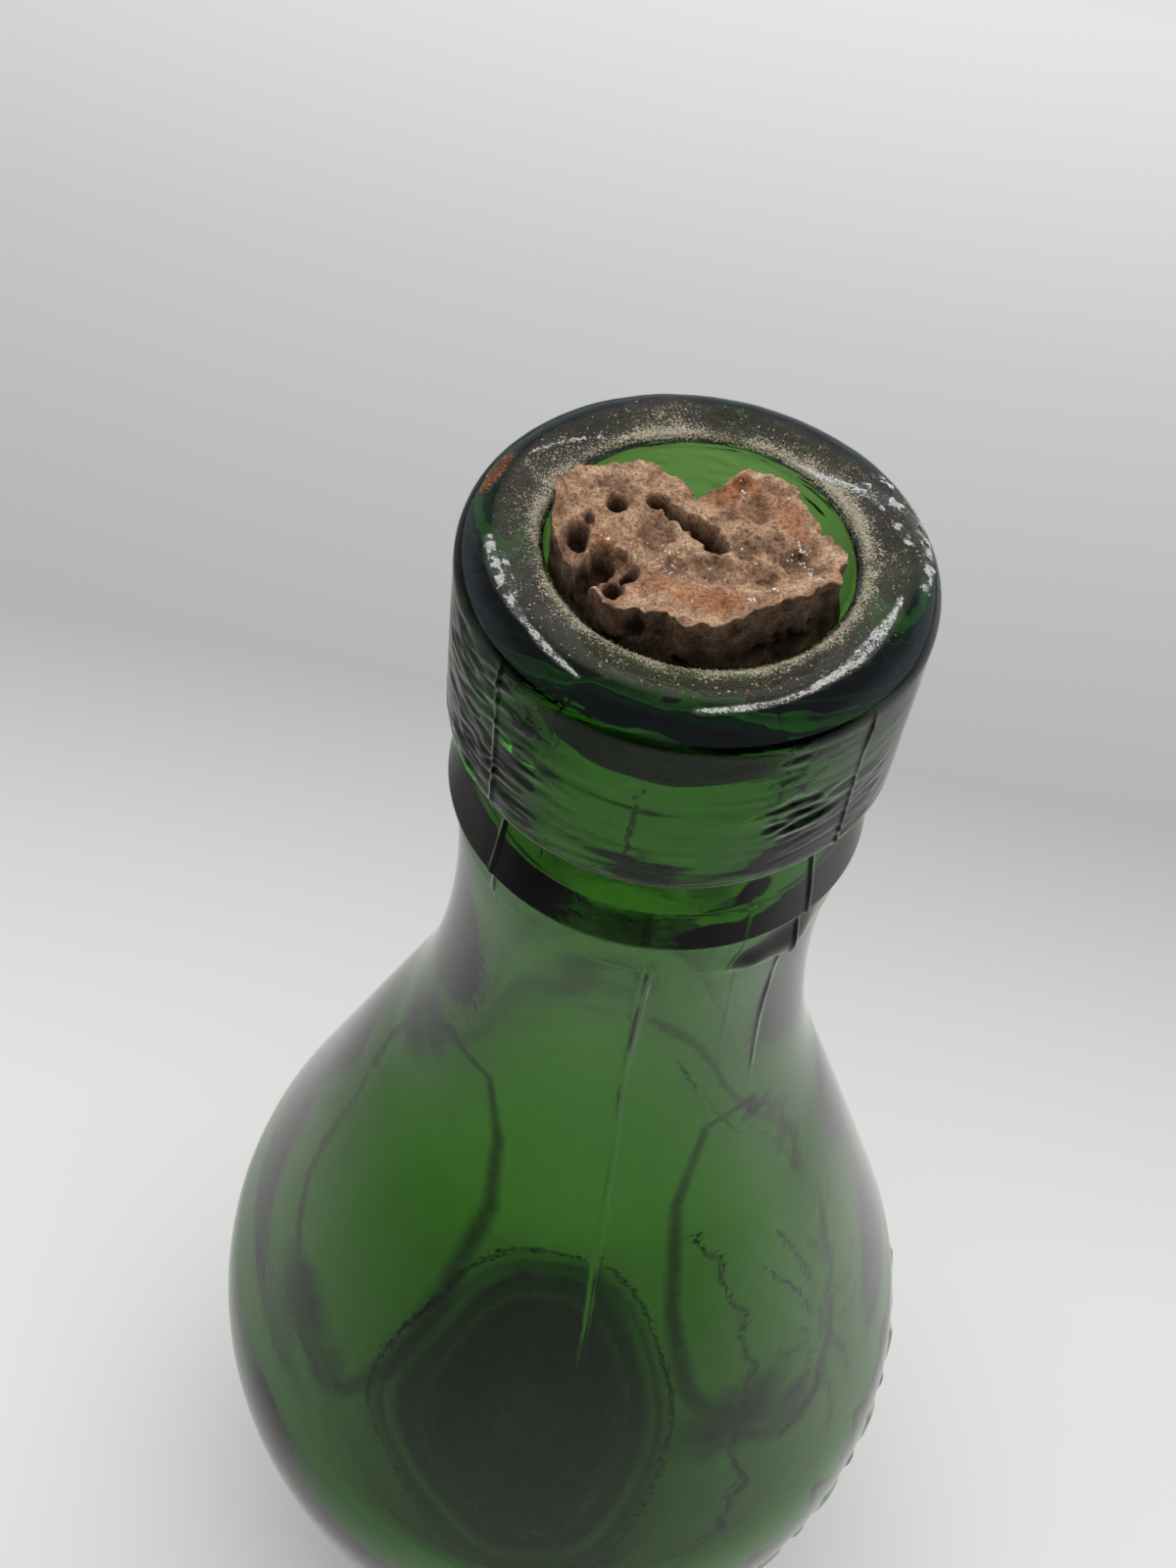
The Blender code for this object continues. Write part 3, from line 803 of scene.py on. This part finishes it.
def set_stops(node, stops):
    """Stops of a colour ramp as (place, hex colour)."""
    elements = node.color_ramp.elements
    while len(elements) < len(stops):
        elements.new(0.5)
    for element, (place, colour) in zip(elements, stops):
        element.position = place
        element.color = linear(colour)
    return node


def new_material(name):
    material = bpy.data.materials.new(name)
    material.use_nodes = True
    material.node_tree.nodes.clear()
    return material, material.node_tree


def add_film(tree, mask, surface):
    """The end of a material: its surface where the mask is 1, and what lies under it where it is 0."""
    clear = add_node(tree, "BsdfTransparent")
    film = add_node(tree, "MixShader", {0: mask, 1: clear, 2: surface})
    add_node(tree, "OutputMaterial", Surface=film)


def grain_material(name, colour, roughness, ior):
    """A material for grains too small to show more than colour and gloss."""
    material, tree = new_material(name)
    settings = {"Base Color": linear(colour), "Roughness": roughness, "IOR": ior}
    surface = add_node(tree, "BsdfPrincipled", settings)
    add_node(tree, "OutputMaterial", Surface=surface)
    return material


def bottle_green_glass():
    """Bottle green glass, blown in a mould and fire polished: clear and glossy, deep green by its thickness.

    Iron and chrome in the melt take red and blue out of the light, so a thin wall is leaf green and a thick
    lip nearly black. The faint bump is the skin that the cold mould leaves.
    """
    material, tree = new_material("bottle_green_glass")
    skin = add_node(tree, "TexCoord").outputs["Object"]
    ripple = add_node(tree, "TexNoise", {"Scale": 1 / (1.2 * mm), "Detail": 2.0}, Vector=skin)
    bump = add_node(tree, "Bump", {"Strength": 0.10, "Distance": 0.06 * mm}, Height=ripple)
    glass = add_node(
        tree,
        "BsdfPrincipled",
        {"Base Color": (1, 1, 1, 1), "Roughness": 0.015, "IOR": 1.52, "Transmission Weight": 1.0},
        Normal=bump,
    )
    tint = add_node(tree, "VolumeAbsorption", {"Color": (0.30, 0.63, 0.03, 1), "Density": 368.0})
    add_node(tree, "OutputMaterial", Surface=glass, Volume=tint)
    return material


def make_glass(material):
    """The whole bottle as one closed sheet of glass, outside and inside."""
    outline, inside_from = bottle_outline()
    outline, places = refined(outline, glass_spacing)
    inside_from = places[inside_from]
    across, up = outline_steps(outline)
    radius, around, height = swept(outline, column_azimuths())
    stand = np.zeros_like(radius)
    drift = np.zeros_like(radius)
    outside = slice(0, inside_from)
    inside = slice(inside_from, len(outline))
    stand[outside] = outer_relief(around[outside], radius[outside], height[outside])
    stand[inside] = inner_relief(around[inside], radius[inside], height[inside])
    drift[outside] = finish_drift(around[outside], height[outside])
    stand *= ramp(radius, 1 * mm, 6 * mm)
    points = turned(radius + up * stand, around, height - across * stand + drift)
    # The ring that the bottle stands on is worn level.
    points[..., 2] = np.maximum(points[..., 2], 0)
    piece = add_piece(closed_mesh("glass", points), material, "bottle")
    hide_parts("bottle_glass")


def streaks_cover(azimuth, radius, streaks, spread=1.0):
    """Cover from 0 to 1 of streaks, by the distance from their lines against their half width there."""
    cover = np.zeros_like(radius)
    for streak in streaks:
        for (a0, r0, w0), (a1, r1, w1) in zip(streak, streak[1:]):
            scale = (r0 + r1) / 2 * mm
            x = turn_between(azimuth, math.radians(a0)) * scale
            dx = math.radians(a1 - a0) * scale
            dy = (r1 - r0) * mm
            y = radius - r0 * mm
            share = np.clip((x * dx + y * dy) / (dx * dx + dy * dy), 0, 1)
            away = np.hypot(x - share * dx, y - share * dy)
            width = (w0 + (w1 - w0) * share) * mm * spread
            cover = np.maximum(cover, ramp(1.35 - away / width, 0, 0.6))
    return cover


def dirt_and_painted_highlights():
    """Dust, lime and rust dried on the rim, and painted highlights drawn as pale crust: dull, grainy and
    broken up, with dark glass between.
    """
    material, tree = new_material("dirt_and_painted_highlights")
    place = add_node(tree, "TexCoord").outputs["Object"]
    stored = [add_node(tree, "Attribute", {"attribute_name": name}) for name in ("cover", "lime", "rust")]
    cover, lime, rust = (node.outputs["Fac"] for node in stored)
    fine = {"Scale": 1 / (0.14 * mm), "Detail": 5.0, "Roughness": 0.75}
    grit = add_node(tree, "TexNoise", fine, Vector=place)
    cloud = add_node(tree, "TexNoise", {"Scale": 1 / (1.4 * mm), "Detail": 3.0}, Vector=place)
    dust = set_stops(add_node(tree, "ValToRGB", Fac=grit), [(0.35, "#5c574b"), (0.62, "#ada491")])
    # The pale chalk colour paints both the lime and the highlights along the lip's crest.
    chalk_and_highlight = set_stops(add_node(tree, "ValToRGB", Fac=grit), [(0.35, "#6e7170"), (0.6, "#c0c1be")])
    mix = {"data_type": "RGBA"}
    limed = add_node(tree, "Mix", {**mix, 0: lime, 6: dust, 7: chalk_and_highlight})
    rusted = add_node(tree, "Mix", {**mix, 0: rust, 6: limed, 7: linear("#74452f")})
    # Where the cover is thin only the coarsest grains are left.
    speckle = add_node(tree, "Math", {"operation": "MULTIPLY_ADD", 0: cloud, 1: 0.30, 2: grit})
    reach = add_node(tree, "Math", {"operation": "MULTIPLY_ADD", 0: cover, 1: 0.62, 2: -0.93})
    over = add_node(tree, "Math", {"operation": "ADD", 0: speckle, 1: reach})
    grains = add_node(tree, "Math", {"operation": "MULTIPLY", "use_clamp": True, 0: over, 1: 14.0})
    haze = add_node(tree, "Math", {"operation": "MULTIPLY", 0: cover, 1: 0.42})
    mask = add_node(tree, "Math", {"operation": "MAXIMUM", 0: grains, 1: haze})
    bump = add_node(tree, "Bump", {"Strength": 0.6, "Distance": 0.08 * mm}, Height=grit)
    dull = {"Roughness": 0.9, "IOR": 1.45, "Base Color": rusted}
    add_film(tree, mask, add_node(tree, "BsdfPrincipled", dull, Normal=bump))
    return material


def painted_shade_film():
    """A thin dark film inside the bottle that paints shade: dull, with uneven edges, and clear glass between.
    """
    material, tree = new_material("painted_shade_film")
    place = add_node(tree, "TexCoord").outputs["Object"]
    cover = add_node(tree, "Attribute", {"attribute_name": "cover"}).outputs["Fac"]
    cloud = add_node(tree, "TexNoise", {"Scale": 1 / (1.5 * mm), "Detail": 4.0}, Vector=place)
    uneven = add_node(tree, "Math", {"operation": "MULTIPLY_ADD", 0: cloud, 1: 0.8, 2: 0.6})
    mask = add_node(tree, "Math", {"operation": "MULTIPLY", "use_clamp": True, 0: cover, 1: uneven})
    # Painted shade: a near black green where the glass only shows shade.
    dull = {"Base Color": linear("#14261c"), "Roughness": 0.8, "IOR": 1.45}
    add_film(tree, mask, add_node(tree, "BsdfPrincipled", dull))
    return material


def painted_shade_cover(around, radius, points, wall):
    """Cover from 0 to 1 of the painted shade on the shoulder's inside, whose outline is the wall."""
    cover = np.zeros_like(radius)
    torn = 0.9 * mm * rough_noise_at(points / (2.5 * mm), 3, 81)[..., None]
    jagged = (jagged_shade_lines, points + torn, jagged_shade_cover)
    smooth = (smooth_shade_lines, points, smooth_shade_cover)
    for lines, places, strength in (jagged, smooth):
        for line in lines:
            steps = np.linspace(0, len(line) - 1, 24 * len(line))
            turn, level, half = (np.interp(steps, range(len(line)), column) for column in zip(*line))
            out = np.interp(level * mm, wall[:, 1], wall[:, 0])
            for spot, width in zip(turned(out, np.radians(turn), level * mm), half * mm):
                away = np.linalg.norm(places - spot, axis=-1)
                cover = np.maximum(cover, strength * ramp(1.6 - away / width, 0, 1.4))
    for turn, level, across, up, strength in shade_patches:
        x = turn_between(around, math.radians(turn)) * radius
        away = np.hypot(x / across, (points[..., 2] + torn[..., 0] - level * mm) / up) / mm
        cover = np.maximum(cover, strength * ramp(1.25 - away, 0, 0.9))
    return cover


def make_painted_shade(material):
    """The dark film inside that paints shade: two leaf-shaped lobes in the shoulder, and a round patch on the
    floor as a painted shadow.
    """
    outline, inside_from = bottle_outline()
    inside = np.array(outline[inside_from:])
    middle = inside[:, 1].argmin()
    wall = inside[: middle + 1][::-1]

    def surface(levels, profile, axis):
        """Places just off the glass, at levels along one axis of the profile."""
        line = np.stack([np.interp(levels, profile[:, axis], profile[:, k]) for k in range(2)], -1)
        radius, around, height = swept(line + shade_stand_off * np.array([-axis, 1 - axis]), film_columns)
        return around, radius, turned(radius, around, height)

    def add_shade_film(name, points, cover):
        mesh = band_mesh(name, points, cover > thinnest_shade, [("cover", cover)])
        add_piece(mesh, material, "bottle")

    around, radius, points = surface(np.arange(shade_bottom, shade_top, 0.35 * mm), wall, 1)
    add_shade_film("shoulder_shade", points, painted_shade_cover(around, radius, points, wall))
    # Painted shadow: a round dark patch on the inside floor, for the shade under the bottle seen through its
    # base.
    around, radius, points = surface(np.arange(0.2 * mm, 19 * mm, 0.4 * mm), inside[middle:][::-1], 0)
    edge = floor_shadow_radius + 0.8 * mm * noise_at(points / (5 * mm), 83)
    add_shade_film("floor_shadow", points, floor_shadow_cover * ramp(edge - radius, -0.8 * mm, 1.2 * mm))


def rim_dust(around, level, places):
    """Cover of fine dust: along the mouth all round, and thinning out over the back half of the lip."""
    behind = ramp(np.sin(around), -0.35, 0.5)
    broad = noise_at(places / (4 * mm), 51)
    over_back = ramp(level, 14 * mm, 13 * mm) * ramp(level, 10 * mm, 10.8 * mm)
    dust = mouth_dust * bell(level, 10.0 * mm, (1.0 + 0.2 * behind) * mm) * (0.85 + 0.4 * broad)
    dust += back_dust * behind * over_back * (0.8 + 0.6 * broad)
    dust += bells_around(around, side_dust) * bell(level, 14 * mm, 0.8 * mm)
    dust += (thin_dust - thin_dust_lost_behind * behind) * ramp(level, 13.6 * mm, 12.6 * mm)
    return dust * ramp(level, 8.6 * mm, 9.8 * mm), broad


def make_rim_dirt_and_highlights(crust, grain):
    """The dirt and the painted highlights as a thin crust that follows the lip's top from its rounding into
    the mouth, and grains.
    """
    corners = [
        (lip_base_radius, bottle_height - lip_height, 0),
        (lip_radius, bottle_height, lip_round),
        (bore_radius, bottle_height, mouth_round),
        (bore_radius, bottle_height - cork_ledge_depth, 0),
    ]
    outline, _ = refined(rounded(corners, 14), lambda radius, height: crust_spacing)
    outline = outline[outline[:, 1] > bottle_height - crust_depth]
    across, up = outline_steps(outline)
    radius, around, height = swept(outline, film_columns)
    places = turned(radius, around, height)
    # Places on the rounding and in the mouth count as if the top ran on level.
    run = np.concatenate([[0], np.cumsum(np.linalg.norm(np.diff(outline, axis=0), axis=1))])
    crest = np.argmax(outline[:, 1] > bottle_height - 0.01 * mm)
    level = outline[crest, 0] + run[crest] - np.repeat(run[:, None], around.shape[1], 1)

    # The white streaks and their smear are painted highlights of a strip light on the lip's crest; the lime
    # patches are lime.
    lime = streaks_cover(around, level, highlight_streaks)
    highlight_smear = highlight_smear_share * streaks_cover(around, level, highlight_streaks, highlight_smear_spread)
    lime = np.maximum(lime, lime_patch_share * streaks_cover(around, level, lime_patches))
    rust = streaks_cover(around, level, rust_stains)
    dust, broad = rim_dust(around, level, places)
    crumble = rough_noise_at(places / (0.5 * mm), 3, 53)
    thick = np.clip(lime * (0.42 + 0.8 * crumble), 0, 1)
    highlight_smear *= 0.8 + 0.5 * broad
    cover = np.clip(np.max([dust, highlight_smear, 1.1 * thick, 0.5 * rust], axis=0), 0, 1)

    lift = 0.035 * mm + 0.10 * mm * thick * (1 + 0.6 * crumble) + 0.02 * mm * crumble
    lift = np.maximum(lift, 0.02 * mm) + worn_top(places, radius, bottle_height - height)
    lift += waves(places, 1, [finish_wave])
    points = turned(radius + up * lift, around, height - across * lift)
    attributes = [("cover", cover), ("lime", ramp(np.maximum(lime, highlight_smear), 0.1, 0.6)), ("rust", rust)]
    mesh = band_mesh("rim_dirt", points, cover > thinnest_crust, attributes)
    add_piece(mesh, crust, "bottle")

    dice = np.random.default_rng(rim_grain_seed)
    chance = (cover**1.5).reshape(-1)
    picked = dice.choice(len(chance), rim_grains, replace=False, p=chance / chance.sum())
    middles = points.reshape(-1, 3)[picked] + dice.uniform(-0.06, 0.06, (rim_grains, 3)) * mm
    add_piece(grains_mesh("rim_grains", middles, rim_grain, dice), grain, "bottle")


def eased_around(shares, azimuth):
    """Value at an azimuth from shares spread evenly around the circle."""
    shares = np.array(shares)
    place = np.remainder(azimuth / (2 * np.pi) * len(shares), len(shares))
    first = np.floor(place).astype(int)
    blend = place - first
    blend = blend * blend * (3 - 2 * blend)
    return shares[first % len(shares)] * (1 - blend) + shares[(first + 1) % len(shares)] * blend


def old_cork():
    """Natural cork, long dried out: dull, crumbling and tan where broken, with painted shade dark in its pits
    and on its wall.
    """
    material, tree = new_material("old_cork")
    place = add_node(tree, "TexCoord").outputs["Object"]
    stored = [add_node(tree, "Attribute", {"attribute_name": name}) for name in ("hollow", "rust")]
    hollow, rust = (node.outputs["Fac"] for node in stored)
    broad = {"Scale": 1 / (1.9 * mm), "Detail": 7.0, "Roughness": 0.68}
    fine = {"Scale": 1 / (0.22 * mm), "Detail": 4.0, "Roughness": 0.7}
    patches = add_node(tree, "TexNoise", broad, Vector=place)
    grain = add_node(tree, "TexNoise", fine, Vector=place)
    tone = add_node(tree, "ValToRGB", Fac=patches)
    set_stops(tone, [(0.30, "#624a3b"), (0.45, "#96745c"), (0.56, "#b49376"), (0.72, "#cfb296")])
    mix = {"data_type": "RGBA"}
    rusty = add_node(tree, "Mix", {**mix, 0: rust, 6: tone, 7: linear("#9a5c36")})
    # Painted shade: the hollow value darkens the pits, the bowls, the wall and the foot towards a shade
    # brown.
    dark = add_node(tree, "Mix", {**mix, 0: hollow, 6: rusty, 7: linear("#33211a")})
    speckle = set_stops(add_node(tree, "ValToRGB", Fac=grain), [(0.34, "#9c9692"), (0.58, "#ffffff")])
    mix.update({"blend_type": "MULTIPLY", 0: 1.0, 6: dark, 7: speckle})
    grainy = add_node(tree, "Mix", mix)
    bump = add_node(tree, "Bump", {"Strength": 0.6, "Distance": 0.16 * mm}, Height=grain)
    dull = {"Roughness": 0.88, "IOR": 1.45, "Base Color": grainy}
    surface = add_node(tree, "BsdfPrincipled", dull, Normal=bump)
    add_node(tree, "OutputMaterial", Surface=surface)
    return material


def cork_carving(across, back):
    """How far the broken head is carved below its level at places in mm, and how much painted shade darkens
    each place.
    """
    places = np.stack([across, back, np.zeros_like(across)], -1)
    wobble = 0.26 * rough_noise_at(places / 0.9, 3, 91)
    down = np.zeros_like(across)
    dark = np.zeros_like(across)
    # Bowls and pits get painted shade by their depth.
    for place in cork_bowls:
        away, depth = patch_distance(across, back, place)
        away = away + wobble
        down += depth * ramp(1.1 - away, 0, 0.75) - 0.12 * bell(away, 1.12, 0.16)
        dark = np.maximum(dark, 0.42 * ramp(1.0 - away, 0, 0.5))
    for place in cork_pits:
        away, depth = patch_distance(across, back, place)
        away = away + wobble
        down = np.maximum(down, depth * ramp(1.3 - away, 0, 0.7))
        dark = np.maximum(dark, min(1, depth / 1.2) * ramp(1.25 - away, 0, 0.5))
    for place in cork_humps:
        away, depth = patch_distance(across, back, place)
        down -= depth * ramp(1.2 - away, 0, 1)
    cells = nearest_point_at(places / 1.15, 71)
    bowls = ramp(0.42 - cells, 0, 0.3)
    down += 0.16 * bowls
    dark = np.maximum(dark, 0.28 * bowls)
    down += 0.18 * rough_noise_at(places / 0.9, 4, 75)
    return down, dark


def make_cork(cork, salt):
    """The seated foot, a wall that leans in to the broken edge, and the pitted head with its salt."""
    radius = bore_radius - cork_clearance
    azimuth = np.radians(np.arange(0, 360, 0.75))
    foot = bottle_height - cork_seated_length
    ledge = bottle_height - cork_ledge_depth - cork_notch_depth * bells_around(azimuth, cork_notch)
    circle = turned(1, azimuth, 0 * azimuth)
    edge = bore_radius * eased_around(cork_edge_shares, azimuth)
    edge = np.minimum(edge + rough_noise_at(circle * 6, 4, 61) * cork_edge_break, radius)
    rise = eased_around(cork_rise_shares, azimuth)
    rings = []
    painted_shades = []
    rusts = []

    def add(out, height, dark=0.0, rust=0.0):
        rings.append(turned(out, azimuth, height + 0 * azimuth))
        painted_shades.append(dark + 0 * azimuth)
        rusts.append(rust + 0 * azimuth)

    def head(share):
        across = edge * share * np.cos(azimuth) / mm
        back = edge * share * np.sin(azimuth) / mm
        level = cork_middle_rise_share + (rise - cork_middle_rise_share) * share**2
        down, dark = cork_carving(across, back)
        rust = np.zeros_like(across)
        for place in cork_rust_places:
            away, strength = patch_distance(across, back, place)
            rust = np.maximum(rust, 0.7 * strength * ramp(1.3 - away, 0, 0.8))
        return bottle_height + cork_head_rise * level - down * mm, dark, rust

    inset = radius - cork_foot_round
    # The third value of each ring is painted shade: half on the foot and the ledge, most on the wall and by
    # depth in the head.
    for share in np.linspace(0, 1, 12):
        add(inset * share, foot, 0.5)
    for turn in np.linspace(0, math.pi / 2, 5)[1:]:
        add(inset + cork_foot_round * math.sin(turn), foot + cork_foot_round * (1 - math.cos(turn)), 0.5)
    add(radius, ledge, 0.5)
    top, _, top_rust = head(1.0)
    for share in np.linspace(0, 1, 50)[1:-1]:
        out = radius + (edge - radius) * ramp(share, 0, 0.45)
        height = ledge + (top - ledge) * share
        places = turned(out, azimuth, height)
        inward = ramp(rough_noise_at(places / (1.5 * mm), 3, 65), 0.0, 1.0) * math.sin(math.pi * share)
        crumble = 0.05 * mm * rough_noise_at(places / (0.4 * mm), 2, 67)
        out = out - cork_wall_hollow * inward - crumble * share
        # Painted shade on the wall below the head, stronger where it hollows in.
        add(out, height, 0.95 - 0.5 * share**2 + 0.4 * inward, 0.2 * top_rust)
    for share in np.linspace(1, 0, cork_head_rings):
        height, dark, rust = head(share)
        add(edge * share, height, dark, rust)
    points = np.array(rings)
    attributes = [("hollow", np.clip(np.array(painted_shades), 0, 1)), ("rust", np.clip(np.array(rusts), 0, 1))]
    piece = add_piece(closed_mesh("cork", points, attributes), cork, "cork")
    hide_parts("cork_stub")

    dice = np.random.default_rng(salt_seed)
    surface = points[-cork_head_rings:].reshape(-1, 3)
    middles = []
    for x, y, spread, count in cork_salt_places:
        for wanted in dice.normal((x, y), spread * 0.5, (count, 2)) * mm:
            middles.append(surface[np.argmin(np.linalg.norm(surface[:, :2] - wanted, axis=1))])
    add_piece(grains_mesh("salt", np.array(middles), salt_grain, dice), salt, "cork")


def make_camera():
    """A camera that stands and looks as the photograph's did."""
    flat = math.cos(camera_tilt)
    forward = Vector((math.sin(camera_pan) * flat, math.cos(camera_pan) * flat, -math.sin(camera_tilt)))
    level = forward.cross(Vector((0, 0, 1))).normalized()
    upright = level.cross(forward)
    right = math.cos(camera_roll) * level + math.sin(camera_roll) * upright
    up = math.cos(camera_roll) * upright - math.sin(camera_roll) * level
    data = bpy.data.cameras.new("camera")
    data.sensor_fit = "VERTICAL"
    data.sensor_height = sensor
    data.lens = focal_px / image_height_px * sensor
    data.clip_start = camera_near
    data.clip_end = camera_far
    camera = add_object(data)
    place = Matrix((right, up, -forward)).transposed().to_4x4()
    place.translation = (0, -camera_back, bottle_height + camera_above_lip)
    camera.matrix_world = place
    bpy.context.scene.camera = camera


def make_lamp():
    """A soft lamp that lights the dull pieces and the floor without a mirror image in the glass."""
    data = bpy.data.lights.new("overhead", "AREA")
    data.shape = "RECTANGLE"
    data.size = lamp_width
    data.size_y = lamp_length
    data.energy = lamp_power
    lamp = add_object(data)
    lamp.location = lamp_place
    lamp.rotation_euler = (lamp_target - lamp_place).to_track_quat("-Z", "Y").to_euler()
    lamp.visible_glossy = False


def pale_paper():
    """Pale matt paper with painted shade: greyer where less light reaches it, and darker still in its mirror
    image.
    """
    material, tree = new_material("pale_paper")
    split = add_node(tree, "SeparateXYZ", Vector=add_node(tree, "TexCoord").outputs["Object"])
    greys = []
    for axis, low, high, stops in (paper_shade, mirrored_shade, mirrored_side_shade):
        share = add_node(tree, "MapRange", {"From Min": low, "From Max": high, 0: split.outputs[axis]})
        tone = add_node(tree, "ValToRGB", Fac=share)
        greys.append(set_stops(tone, stops))
    direct, front, side = greys
    multiply = {"data_type": "RGBA", "blend_type": "MULTIPLY"}
    dimmed = add_node(tree, "Mix", {**multiply, 0: 1.0, 6: front, 7: side})
    # Painted shade: mirror images of the paper are darkened towards the camera and at the sides.
    mirrored = add_node(tree, "LightPath").outputs["Is Glossy Ray"]
    seen = add_node(tree, "Mix", {**multiply, 0: mirrored, 6: direct, 7: dimmed})
    surface = add_node(tree, "BsdfPrincipled", {"Roughness": 0.9}, Base_Color=seen)
    add_node(tree, "OutputMaterial", Surface=surface)
    return material


def make_floor():
    mesh = bpy.data.meshes.new("floor")
    half = floor_half_width
    mesh.from_pydata([(x, y, 0) for x in (-half, half) for y in (-half, half)], [], [(0, 2, 3, 1)])
    mesh.materials.append(pale_paper())
    floor = add_object(mesh)
    floor.location.z = -floor_drop


def make_tent():
    """Soft light from all sides, weaker towards the camera and overhead, and cooler in mirror images."""
    world = bpy.data.worlds.new("tent")
    bpy.context.scene.world = world
    world.use_nodes = True
    tree = world.node_tree
    tree.nodes.clear()
    split = add_node(tree, "SeparateXYZ", Vector=add_node(tree, "TexCoord").outputs["Generated"])
    x, y, z = split.outputs
    soft = {"interpolation_type": "SMOOTHSTEP"}
    rear = add_node(tree, "MapRange", {**soft, "From Min": -0.75, "From Max": 0.15, 0: y})
    low = add_node(tree, "MapRange", {**soft, "From Min": 0.85, "From Max": 0.35, 0: z})
    lit = add_node(tree, "Math", {"operation": "MULTIPLY", 0: rear, 1: low})
    strength = add_node(tree, "MapRange", {"To Min": tent_dim, "To Max": tent_bright, 0: lit})
    ray = add_node(tree, "LightPath").outputs
    sideways = {"From Min": -0.8, "From Max": 0.4, "To Min": 0.75, "To Max": 0.9, 0: x}
    side = add_node(tree, "MapRange", sideways)
    mirrored = add_node(tree, "Mix", {0: ray["Is Glossy Ray"], 2: 1.0, 3: side})
    dimmed = add_node(tree, "Math", {"operation": "MULTIPLY", 0: strength, 1: mirrored})
    seen = {"operation": "MULTIPLY", 0: ray["Is Camera Ray"], 1: tent_seen}
    plain = add_node(tree, "Math", seen)
    shown = add_node(tree, "Math", {"operation": "MAXIMUM", 0: dimmed, 1: plain})
    tints = {"data_type": "RGBA", 0: ray["Is Glossy Ray"], 6: linear("#f2f2f2"), 7: linear("#d4e2ee")}
    tint = add_node(tree, "Mix", tints)
    sky = add_node(tree, "Background", Color=tint, Strength=shown)
    add_node(tree, "OutputWorld", Surface=sky)


scene = bpy.context.scene
scene.view_settings.view_transform = "Standard"
scene.cycles.max_bounces = 20
scene.cycles.transmission_bounces = 20
scene.cycles.transparent_max_bounces = 12
scene.cycles.glossy_bounces = 8
make_camera()
make_floor()
make_tent()
make_lamp()
make_glass(bottle_green_glass())
make_painted_shade(painted_shade_film())
# Grains of dust are dull and pale, and salt crystals white and glittering.
make_rim_dirt_and_highlights(dirt_and_painted_highlights(), grain_material("dust_grain", "#a39c80", 0.85, 1.5))
make_cork(old_cork(), grain_material("salt_crystal", "#f0eeea", 0.15, 1.54))
